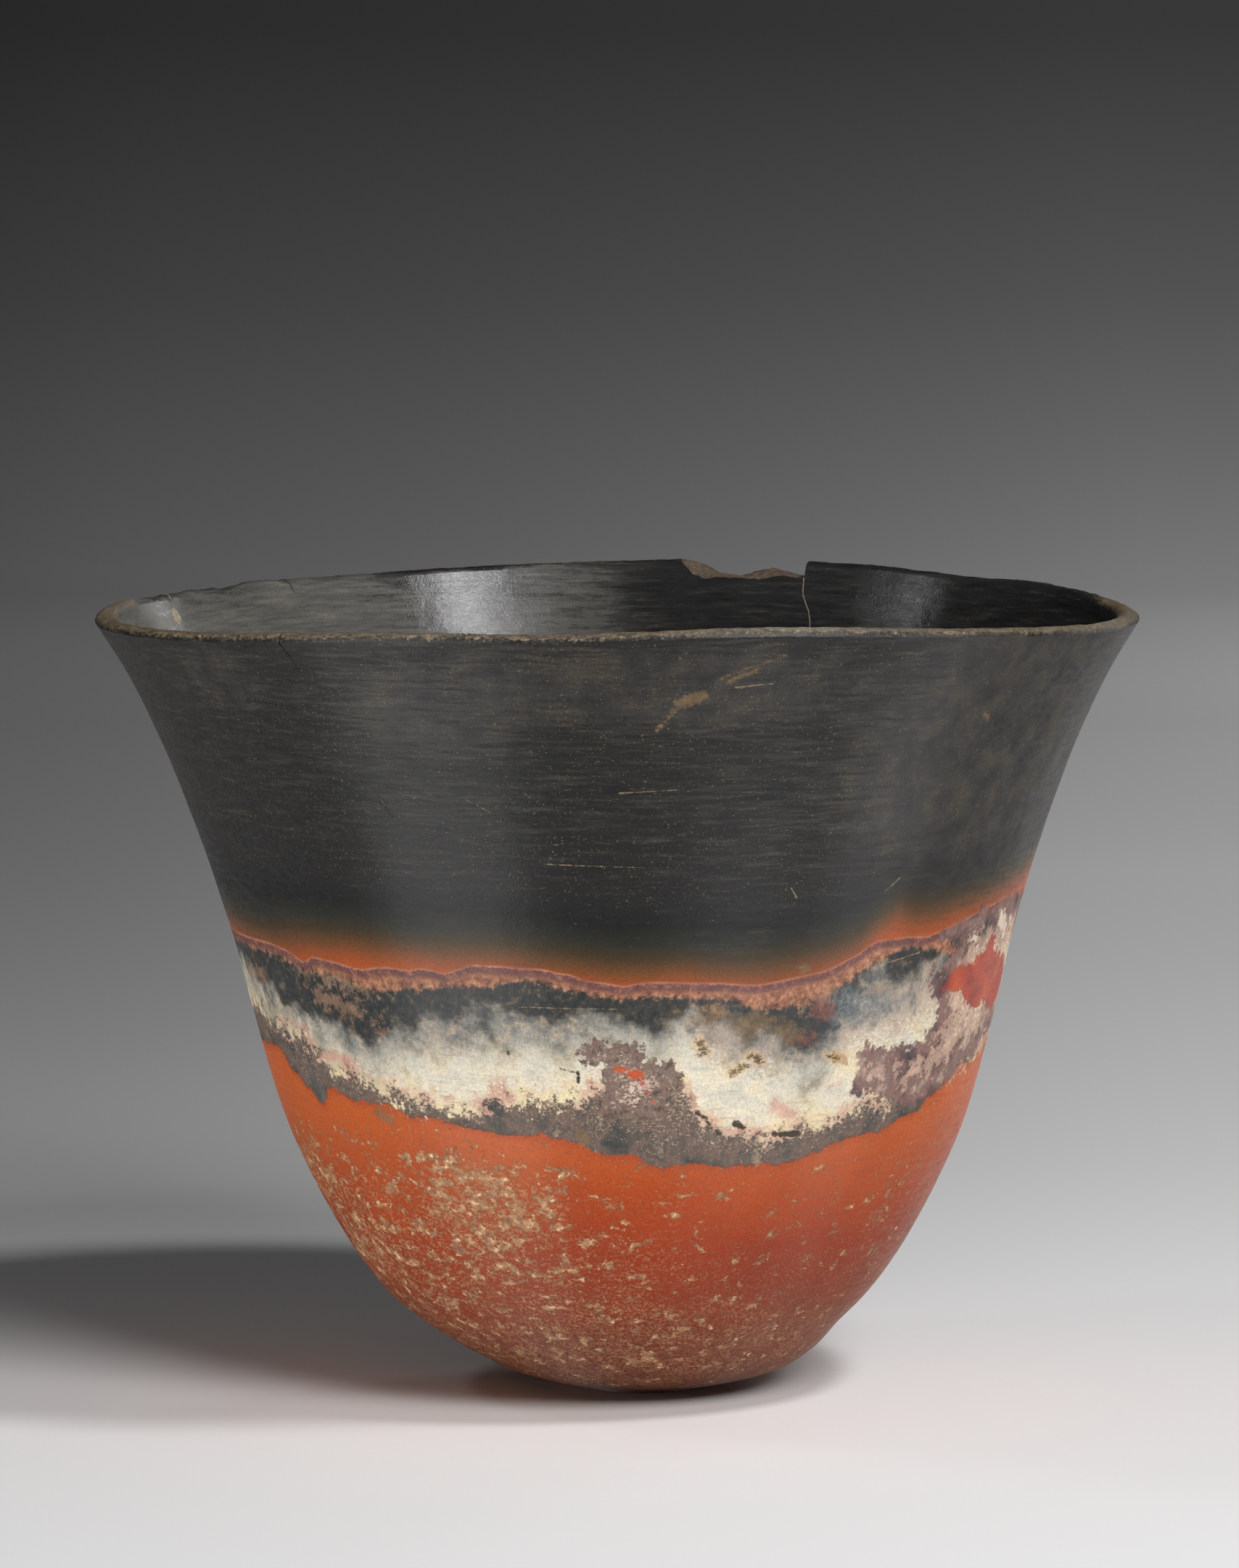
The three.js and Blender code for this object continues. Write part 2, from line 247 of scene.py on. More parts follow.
# Where the polish of the red is worn through, as azimuth, height, half width, half height
# and strength
WORN = [
    (-42, 24, 34, 18, 0.72), (-26, 30, 15, 10, 1.0), (-8, 22, 16, 9, 0.6), (10, 28, 40, 15, 0.32),
    (62, 26, 20, 18, 0.45), (0, 11, 60, 9, 0.6), (150, 24, 60, 18, 0.55), (230, 24, 50, 19, 0.6),
    (-70, 30, 12, 10, 0.9), (-62, 22, 14, 9, 0.9), (-34, 36, 2.2, 2.5, 1),
    (-28, 31, 5.5, 4, 1), (-21, 32, 3.5, 4, 0.9), (-12, 33, 3, 3, 0.6), (-40, 29, 3, 2, 0.8),
    (-9, 35.5, 2.5, 1.5, 0.8), (-2, 31, 2.5, 2, 0.6), (8, 32, 4, 3, 0.5), (-15, 21, 5, 3, 0.8),
    (-45, 20, 8, 5, 0.7), (-10, 14, 14, 5, 0.6), (35, 35, 4, 1.5, 0.6), (49, 35, 3, 1.2, 0.6),
    (54, 27, 4, 2.5, 0.7), (40, 22, 5, 2, 0.5), (2, 22, 4, 2, 0.6), (70, 35, 6, 5, 0.4),
    (100, 28, 10, 6, 0.7), (128, 22, 9, 7, 0.8), (150, 33, 6, 3, 0.8), (176, 26, 8, 5, 0.7),
    (204, 31, 9, 4, 0.8), (228, 20, 12, 6, 0.7), (250, 33, 7, 5, 0.9),
]

# Where the black is rubbed grey or brown, in the same way
RUBBED = [
    (54, 92, 34, 22, 1.0), (-50, 101, 10, 5, 0.7), (5, 101, 40, 7, 0.8), (-22, 98, 16, 8, 0.6),
    (120, 90, 40, 16, 0.6), (190, 95, 40, 12, 0.5), (240, 88, 30, 14, 0.6),
]

# Where the inside is rubbed grey, and where the same grey is a painted sheen of the burnish
INSIDE_RUBBED_AND_SHEEN = [
    (222, 99, 22, 15, 1.0), (241, 97, 20, 15, 0.9), (264, 95, 28, 19, 0.95), (187, 99, 12, 15, 0.62),
]

# Small marks, each a short stroke from one azimuth and height to another, with half its width
MARKS = {
    "tan_smears": [
        (11, 102.3, 18.1, 105.4, 0.25), (12.2, 102.1, 15, 103.4, 0.5), (9.4, 100.1, 6.9, 99.2, 0.9),
        (6.6, 98.4, 4.4, 95.7, 0.35), (47.5, 95.9, 48.1, 95.6, 0.5), (26, 62.9, 27, 62.9, 0.7),
        (-43, 42.2, -40.4, 41.4, 0.9), (-7, 40.9, -6.6, 40.2, 1.0),
    ],
    "pale_scratches": [
        (13, 101.2, 17.1, 101.6, 0.08), (0, 87.2, 7, 87.6, 0.07), (-10, 77.6, 3, 77.2, 0.05),
        (-19, 86, -16, 84.3, 0.06), (40, 62.8, 47, 63.8, 0.09), (23, 74, 24, 72.6, 0.09),
        (-15, 58.2, 0, 58.1, 0.06), (38, 72.8, 40.5, 74.8, 0.1), (57, 39.4, 60.5, 42, 0.07),
        (-37, 38, -36.8, 42.4, 0.05), (-39, 36, -37.9, 39.8, 0.05),
    ],
    "dark_gouges": [
        (-31.5, 86.7, -30.3, 84.8, 0.16), (-30.3, 84.8, -29.6, 83.2, 0.1),
        (11.2, 43.8, 12.6, 43.2, 0.35), (12.6, 43.2, 13.5, 41.8, 0.35), (13.5, 41.8, 15, 41, 0.4),
        (17.5, 42.3, 18.8, 41.6, 0.35), (24, 40.5, 28.6, 40.4, 0.35), (-9.6, 50, -6.9, 49.4, 0.09),
        (-7, 49.4, -7, 48.2, 0.2), (-11.7, 54.6, -11.6, 54.3, 0.1), (-17.4, 52.2, -17.3, 51.8, 0.12),
    ],
    "brown_spots": [
        (11.1, 53.4, 11.8, 52.4, 0.55), (18.9, 51.5, 20.6, 50.7, 0.4), (16.2, 49.2, 18.2, 50.1, 0.35),
        (32, 50.8, 33.5, 50.4, 0.3),
    ],
    "dark_nodule": [(-57.4, 44.6, -56.2, 43.6, 0.9), (-58.4, 46.6, -57.6, 45.2, 0.7)],
    "tan_flakes": [(33.6, 50.6, 35.2, 50, 0.75), (24.9, 58.4, 25.3, 58.8, 0.4)],
    "pink_stains": [
        (24.2, 44.4, 26.4, 43.4, 1.3), (-54, 49, -47, 49.2, 0.7), (33, 46.4, 35, 46.8, 0.4),
    ],
    "mauve_stains": [(29.4, 57.4, 31, 56.8, 1.4), (27, 53, 29, 53.6, 0.8)],
    "cream_flecks": [
        (60.6, 64.4, 61.8, 63.8, 0.7), (70, 66.6, 73.4, 64.4, 1.3), (75.6, 66, 76.4, 65.6, 0.6),
    ],
    "tan_mottles": [
        (-51, 57.6, -43, 56, 1.4), (-75, 59, -67, 58.6, 1.2), (-39.5, 55, -38, 54, 0.8),
        (12.4, 58.6, 14.4, 58, 0.7), (38, 59.4, 40.4, 59, 0.6),
    ],
}
# The marks lie on the front, so where the wall turns to the back it is put far from them all
FRONT_ENDS = (100, 110)
OFF_THE_FRONT = 1000.0

# Past this many millimetres from an edge, how far no longer matters
FAR_FROM_EDGE = 8
SMOKE_REACH = 9
# How deep in the wall its inside begins, and the heights between which the base's wear ends
INSIDE_DEPTH = (1.0, 1.6)
INNER_FLOOR = 5.2
BASE_WEAR_ENDS = (6, 36)

radians = math.radians


def smooth_step(value, start, end):
    """0 before start, 1 after end, and an eased rise between them."""
    share = np.clip((value - start) / (end - start), 0, 1)
    return share * share * (3 - 2 * share)


def around(points, azimuth, ease=0.35):
    """A height that follows points of azimuth and height round the wall."""
    at, height = np.array(points, float).T
    eased = [np.interp(azimuth + turn, at, height, period=ROUND) for turn in (-ease, 0, ease)]
    return sum(eased) / len(eased)


def axis_shift(height):
    """How far to the right the axis lies at a height."""
    heel = np.exp(-(((height - HEEL_HEIGHT) / HEEL_REACH) ** 2))
    heel_at_rest = math.exp(-((HEEL_HEIGHT / HEEL_REACH) ** 2))
    return LEAN * height + HEEL_BULGE * (heel - heel_at_rest)


def rim_sway(azimuth, height):
    """How far the uneven rim lifts the wall at a height."""
    rise = around(RIM, azimuth) - LIP_HEIGHT - LIP_RISE
    return rise * smooth_step(height, RIM_SWAYS_ABOVE, LIP_HEIGHT)


def curve_through(points, steps=14):
    """A smooth curve through points of a plane."""
    known = np.array([points[0], *points, points[-1]], float)
    share = np.linspace(0, 1, steps, endpoint=False)[:, None]
    spans = []
    for before, start, end, after in zip(known, known[1:], known[2:], known[3:]):
        bend = 2 * before - 5 * start + 4 * end - after
        twist = 3 * (start - end) + after - before
        spans.append(start + 0.5 * share * (end - before + share * (bend + share * twist)))
    return np.vstack([*spans, known[-1:]])


def evenly(path, spacing):
    """A path cut into equal steps of about this spacing."""
    length = np.concatenate([[0], np.cumsum(np.hypot(*np.diff(path[:, :2], axis=0).T))])
    at = np.linspace(0, length[-1], max(2, round(length[-1] / spacing) + 1))
    return np.column_stack([np.interp(at, length, column) for column in path.T])


def thickness(height):
    """The wall's thickness: thick at the base, even up the wall and thinner at the lip."""
    belly = FLOOR_THICKNESS + (MID_THICKNESS - FLOOR_THICKNESS) * smooth_step(height, 0, THICK_BELOW)
    return belly + (LIP_THICKNESS - belly) * smooth_step(height, THIN_ABOVE, LIP_HEIGHT)


OUTSIDE_CURVE = curve_through(OUTSIDE)


def outside_radius(height):
    """The radius of the outer wall at a height."""
    return np.interp(height, OUTSIDE_CURVE[:, 1], OUTSIDE_CURVE[:, 0])


def wall_profile():
    """Radius and height of the whole section, from under the base round to the inner floor."""
    outside = OUTSIDE_CURVE
    along = np.gradient(outside, axis=0)
    along /= np.hypot(*along.T)[:, None]
    square = np.column_stack([-along[:, 1], along[:, 0]])
    inside = outside + square * thickness(outside[:, 1])[:, None]
    inside = inside[(outside[:, 0] > FLOOR_EDGE) & (outside[:, 1] < INSIDE_STOPS)]
    turn = np.linspace(0, math.pi, LIP_STEPS + 2)[1:-1]
    half = LIP_WIDTH / 2
    lip_height = LIP_HEIGHT + LIP_RISE * np.sin(turn)
    lip = np.column_stack([LIP_RADIUS - half + half * np.cos(turn), lip_height])
    under = np.array([(0, 0), (3, 0), (6, 0)])
    floor = np.array([(7, FLOOR_THICKNESS), (3.5, FLOOR_THICKNESS), (0, FLOOR_THICKNESS)])
    upper = inside[inside[:, 1] > COARSE_BELOW][::-1]
    lower = inside[inside[:, 1] <= COARSE_BELOW][::-1]
    return np.vstack([
        under, evenly(outside, OUTSIDE_SPACING), lip,
        evenly(upper, OUTSIDE_SPACING), evenly(lower, INSIDE_SPACING), floor,
    ])


def places(mesh):
    """The azimuth, height and radius of each point of a mesh."""
    points = np.empty(3 * len(mesh.vertices), np.float32)
    mesh.vertices.foreach_get("co", points)
    x, y, z = points.reshape(-1, 3).T / MM
    across = x - axis_shift(z)
    return np.degrees(np.arctan2(across, -y)), z, np.hypot(across, y)


def build_by_hand(mesh):
    """Moves a turned wall to its leaning axis and gives it its uneven rim and its ripples."""
    points = np.empty(3 * len(mesh.vertices), np.float32)
    mesh.vertices.foreach_get("co", points)
    points = points.reshape(-1, 3).astype(float)
    x, y, z = points.T.copy()
    azimuth = np.degrees(np.arctan2(x, -y))
    broad, fine, nicked = (
        np.array([noise.noise(Vector(point) / size) for point in points])
        for size in (BROAD_RIPPLE, FINE_RIPPLE, NICK)
    )
    beaten = np.array([noise.noise(Vector((a, b, 1.7 * c)) / BEATEN_RIPPLE) for a, b, c in points])
    # Ripples all over the wall, and a finer tooth with nicks on the lip, in millimetres
    lip = smooth_step(z, LIP_HEIGHT - 1.2, LIP_HEIGHT + 0.4)
    turned = azimuth % ROUND
    rough = 1 + 2 * ((turned > ROUGH_RIM[0]) & (turned < ROUGH_RIM[1]))
    ripple = (0.2 * broad + 0.07 * beaten + 0.02 * fine) * smooth_step(z, 0.5, 8)
    ripple += lip * (0.06 * fine + 0.05 * nicked)
    radius = np.maximum(np.hypot(x, y), 1e-6)
    points[:, 0] += x / radius * ripple + axis_shift(z)
    points[:, 1] += y / radius * ripple
    points[:, 2] += rim_sway(azimuth, z) + lip * rough * (0.1 * fine + 0.09 * nicked)
    mesh.vertices.foreach_set("co", (points * MM).ravel())


def finish_mesh(bm, name, *materials):
    """Makes an object of a bmesh whose faces point outwards."""
    mesh = bpy.data.meshes.new(name)
    bm.to_mesh(mesh)
    bm.free()
    for material in materials:
        mesh.materials.append(material)
    made = bpy.data.objects.new(name, mesh)
    bpy.context.scene.collection.objects.link(made)
    return made


def whole_pot(clay):
    """The fired pot before it broke, turned from its section and then made uneven."""
    bm = bmesh.new()
    rings = [bm.verts.new((radius, 0, height)) for radius, height in wall_profile()]
    edges = [bm.edges.new(pair) for pair in zip(rings, rings[1:])]
    bmesh.ops.spin(
        bm, geom=rings + edges, cent=(0, 0, 0), axis=(0, 0, 1), dvec=(0, 0, 0),
        angle=math.tau, steps=COLUMNS, use_merge=True,
    )
    bmesh.ops.remove_doubles(bm, verts=bm.verts, dist=1e-4)
    bmesh.ops.recalc_face_normals(bm, faces=bm.faces)
    made = finish_mesh(bm, "whole_pot", clay)
    build_by_hand(made.data)
    return made


def on_wall(azimuth, height, radius):
    """A point at an azimuth, a height and a distance from the leaning axis."""
    turn = radians(azimuth)
    x = radius * math.sin(turn) + float(axis_shift(height))
    return Vector((x, -radius * math.cos(turn), height)) * MM


def ruled_solid(name, outlines, material):
    """A closed solid that runs through outlines with the same number of points."""
    bm = bmesh.new()
    ring = [bm.verts.new(point) for point in outlines[0]]
    edges = [bm.edges.new(pair) for pair in zip(ring, ring[1:] + ring[:1])]
    bmesh.ops.contextual_create(bm, geom=edges)
    for outline in outlines[1:]:
        order = [tuple(vert.co) for vert in ring]
        pushed = bmesh.ops.extrude_edge_only(bm, edges=edges)["geom"]
        at = {tuple(part.co): part for part in pushed if isinstance(part, bmesh.types.BMVert)}
        ring = [at[place] for place in order]
        for vert, point in zip(ring, outline):
            vert.co = point
        edges = [bm.edges.get(pair) for pair in zip(ring, ring[1:] + ring[:1])]
    bmesh.ops.contextual_create(bm, geom=edges)
    bmesh.ops.triangulate(bm, faces=[face for face in bm.faces if len(face.verts) > 4])
    bmesh.ops.recalc_face_normals(bm, faces=bm.faces)
    return finish_mesh(bm, name, material)


def unrolled(points):
    """Points of azimuth and height as millimetres along and up the wall near its breaks."""
    flat = np.array(points, float)
    flat[:, 0] *= BREAK_MM_PER_DEGREE
    return flat


def rolled(flat):
    """Millimetres along and up the wall as azimuth and height again."""
    return [(along / BREAK_MM_PER_DEGREE, height) for along, height in flat]


def break_path():
    """The ragged line of the breaks round the sherd, unrolled, and the way outwards from it."""
    path = evenly(unrolled(RIGHT_BREAK + LOWER_BREAK + LEFT_BREAK), BREAK_SPACING)
    along = np.gradient(path, axis=0)
    along /= np.hypot(*along.T)[:, None]
    outwards = np.column_stack([along[:, 1], -along[:, 0]])
    ragged = np.array([
        0.35 * noise.noise(Vector((step / 5, 7, 0))) + 0.12 * noise.noise(Vector((step / 1.6, 3, 0)))
        for step in range(len(path))
    ])
    ragged[path[:, 1] > LIP_HEIGHT] *= 0.3
    return path + outwards * ragged[:, None], outwards


def through_wall(name, outline, material, radii=BREAK_RADII):
    """A solid of this outline that passes through the wall."""
    rings = [[on_wall(azimuth, height, radius) for azimuth, height in outline] for radius in radii]
    return ruled_solid(name, rings, material)


def ribbon(path, outwards, half):
    """The outline of a strip along a path."""
    half = np.broadcast_to(half, len(path))[:, None]
    return rolled([*(path + outwards * half), *(path - outwards * half)[::-1]])


def crack_solid(number, points, material):
    """A thin wedge for a crack that runs down from the rim."""
    path = evenly(unrolled(points), 0.5)
    path[:, 0] += [0.08 * noise.noise(Vector((number, step / 2.2, 0))) for step in range(len(path))]
    sideways = np.tile((1.0, 0.0), (len(path), 1))
    return through_wall("crack_cutter", ribbon(path[:, :2], sideways, path[:, 2]), material)


def chip_solid(material):
    """What is missing from the sherd's rim, with a rough broken face below it."""
    path = evenly(unrolled(CHIP), CHIP_GRAIN)
    rings = []
    for radius in np.arange(*CHIP_RADII, CHIP_GRAIN):
        grains = [0.16 * noise.noise(Vector((along, radius, 0)) / 0.9) for along in path[:, 0]]
        fall = path[:, 2] * (LIP_RADIUS - radius)
        floor = rolled(np.column_stack([path[:, 0], path[:, 1] - fall + grains]))
        corners = [(floor[-1][0], ABOVE_RIM), (floor[0][0], ABOVE_RIM)]
        rings.append([on_wall(azimuth, height, radius) for azimuth, height in floor + corners])
    return ruled_solid("chip_cutter", rings, material)


def combine(made, cutter, operation):
    """Joins or cuts a solid with another one, which keeps its own finish on the cut."""
    modifier = made.modifiers.new("cut", "BOOLEAN")
    modifier.object = cutter
    modifier.operation = operation
    modifier.solver = "MANIFOLD"
    modifier.material_mode = "TRANSFER"
    evaluated = made.evaluated_get(bpy.context.evaluated_depsgraph_get())
    mesh = bpy.data.meshes.new_from_object(evaluated)
    made.modifiers.clear()
    made.data = mesh
    mesh.name = made.name
    return made


def copy_of(made, name):
    """Another object with its own copy of the mesh."""
    twin = made.copy()
    twin.data = made.data.copy()
    twin.name = name
    bpy.context.scene.collection.objects.link(twin)
    return twin


def only_material(made, material):
    """Gives a piece one finish all over."""
    made.data.materials.clear()
    made.data.materials.append(material)


def patch_depth(outline, azimuth, height):
    """How far inside an outline each place on the wall lies, in millimetres."""
    mm_per_degree = radians(float(outside_radius(outline[0][1])))
    corners = np.array(outline, float) * (mm_per_degree, 1)
    turned = (azimuth + ROUND / 2) % ROUND - ROUND / 2
    place = np.column_stack([turned * mm_per_degree, height])
    nearest = np.full(len(place), np.inf)
    within = np.zeros(len(place), bool)
    for start, end in zip(corners, np.roll(corners, -1, axis=0)):
        side = end - start
        share = np.clip((place - start) @ side / (side @ side), 0, 1)
        nearest = np.minimum(nearest, np.hypot(*(place - start - share[:, None] * side).T))
        if start[1] != end[1]:
            crosses = (start[1] > place[:, 1]) != (end[1] > place[:, 1])
            at = start[0] + (place[:, 1] - start[1]) / (end[1] - start[1]) * side[0]
            within ^= crosses & (place[:, 0] < at)
    return np.clip(np.where(within, nearest, -nearest), -FAR_FROM_EDGE, FAR_FROM_EDGE)


def patches_of(ellipses, azimuth, height):
    """How strongly any of some soft-edged patches shows, from 0 to 1."""
    worn = np.zeros(len(height))
    for middle, level, wide, tall, strength in ellipses:
        turned = (azimuth - middle + ROUND / 2) % ROUND - ROUND / 2
        across = radians(1) * turned * outside_radius(height) / wide
        out = np.hypot(across, (height - level) / tall)
        worn = np.maximum(worn, strength * (1 - smooth_step(out, 0.35, 1.35)))
    return worn


def laid_flat(azimuth, height):
    """Millimetres along and up the outer wall, unrolled."""
    return azimuth * radians(1) * outside_radius(height), height


def mark_wall(made):
    """Writes on each point of the clay how far it lies past the edge of each finish."""
    azimuth, height, radius = places(made.data)
    depth = outside_radius(height - rim_sway(azimuth, height)) - radius
    inside = smooth_step(depth, *INSIDE_DEPTH) * (height > INNER_FLOOR)
    fields = {
        "inside": inside,
        "inside_rubbed": inside * patches_of(INSIDE_RUBBED_AND_SHEEN, azimuth, height),
        "above_lip": height - around(RIM, azimuth) - smooth_step(np.abs(azimuth), *FRONT_ENDS),
        "height": height,
        "worn": patches_of(WORN, azimuth, height),
        "rubbed": patches_of(RUBBED, azimuth, height),
        "base_wear": 1 - smooth_step(height, *BASE_WEAR_ENDS),
        "smoked": height - around(LINES["above_firing"], azimuth),
    }
    fields["smoked"] = np.clip(fields["smoked"], -SMOKE_REACH, SMOKE_REACH)
    for name, points in LINES.items():
        fields[name] = height - around(points, azimuth)
    for name, outline in PATCHES.items():
        fields[name] = patch_depth(outline, azimuth, height)
    for name, values in fields.items():
        attribute = made.data.attributes.new(name, "FLOAT", "POINT")
        attribute.data.foreach_set("value", np.asarray(values, np.float32))
    along, up = laid_flat(azimuth, height)
    up = up + OFF_THE_FRONT * smooth_step(np.abs(azimuth), *FRONT_ENDS)
    attribute = made.data.attributes.new("laid_flat", "FLOAT_VECTOR", "POINT")
    flat = np.column_stack([along, up, np.zeros(len(up))])
    attribute.data.foreach_set("vector", flat.astype(np.float32).ravel())


def colour(code):
    """Turns an sRGB hex value to linear red, green, blue and alpha."""
    parts = [int(code[at:at + 2], 16) / 255 for at in (1, 3, 5)]
    return [p / 12.92 if p <= 0.04045 else ((p + 0.055) / 1.055) ** 2.4 for p in parts] + [1.0]


def add(tree, kind, inputs=None, stops=None, **settings):
    """Adds a node with its settings, sets or links its inputs, and fills its colour ramp."""
    node = tree.nodes.new(kind)
    for name, value in settings.items():
        setattr(node, name, value)
    for socket, value in (inputs or {}).items():
        if isinstance(value, bpy.types.NodeSocket):
            tree.links.new(value, node.inputs[socket])
        else:
            node.inputs[socket].default_value = value
    if stops:
        elements = node.color_ramp.elements
        for place, code in stops[1:-1]:
            elements.new(place)
        for element, (place, code) in zip(elements, stops):
            element.position = place
            element.color = colour(code)
    return node


# Inputs of a Mix node that mixes numbers and of one that mixes colours
SHARE, LOW, HIGH, UNDER, OVER, MIXED = 0, 2, 3, 6, 7, 2

# Natural patterns in the clay and on it, as size in millimetres, stretch along X, Y and Z,
# detail and roughness. The grain is drawn at 0.3 mm; finer grit doesn't show in a picture.
PATTERNS = {
    "drift": (16, (1, 1, 1), 2, 0.5),
    "cloud": (4.2, (1, 1, 1), 5, 0.6),
    "lace": (1.7, (1, 1, 1), 8, 0.74),
    "flake": (1.0, (1, 1, 1), 7, 0.7),
    "grain": (0.3, (1, 1, 1), 2, 0.5),
    "specks": (0.36, (1, 1, 1.3), 2, 0.6),
    "burnish": (7.0, (1, 1, 12), 8, 0.74),
    "drip": (1.6, (1, 1, 0.22), 5, 0.65),
    "flecks": (0.75, (1, 1, 1.5), 9, 0.82),
    "chips": (2.3, (1, 1, 1.3), 9, 0.76),
}

# The red slip, brown and dull at the base and orange towards the crust, and darker towards the base as
# painted shade of the underside: its colours between two heights, and how far they wander
SLIP_AND_UNDERSIDE_SHADE = [
    (0, "#552a1c"), (0.2, "#66281a"), (0.36, "#782b12"), (0.57, "#862f10"), (0.72, "#953c15"),
    (0.86, "#a04a20"), (1, "#a64e20"),
]
SLIP_HEIGHTS = (6.0, 50.0)
SLIP_WANDERS = 12.0
SLIP_ROUGHNESS = 0.45

# How high the clay's own grain, strokes and hollows stand, in millimetres
GRAIN_TOOTH = 0.035
STROKE_DEPTH = 0.05
HOLLOW_DEPTH = 0.12

# What the clay says of each of its points, besides its lines and patches
WALL_FIELDS = (
    "inside", "inside_rubbed", "above_lip", "height", "worn", "rubbed", "base_wear", "smoked",
)

# One finish that lies over the ones before it. It covers the wall where the value of its
# field, made ragged by a pattern that reaches so many millimetres, is more than its edge.
# Its tint follows a field and a pattern, from a low to a high value.
Finish = namedtuple("Finish", "field edge soft pattern reach tint colours rough relief cover")

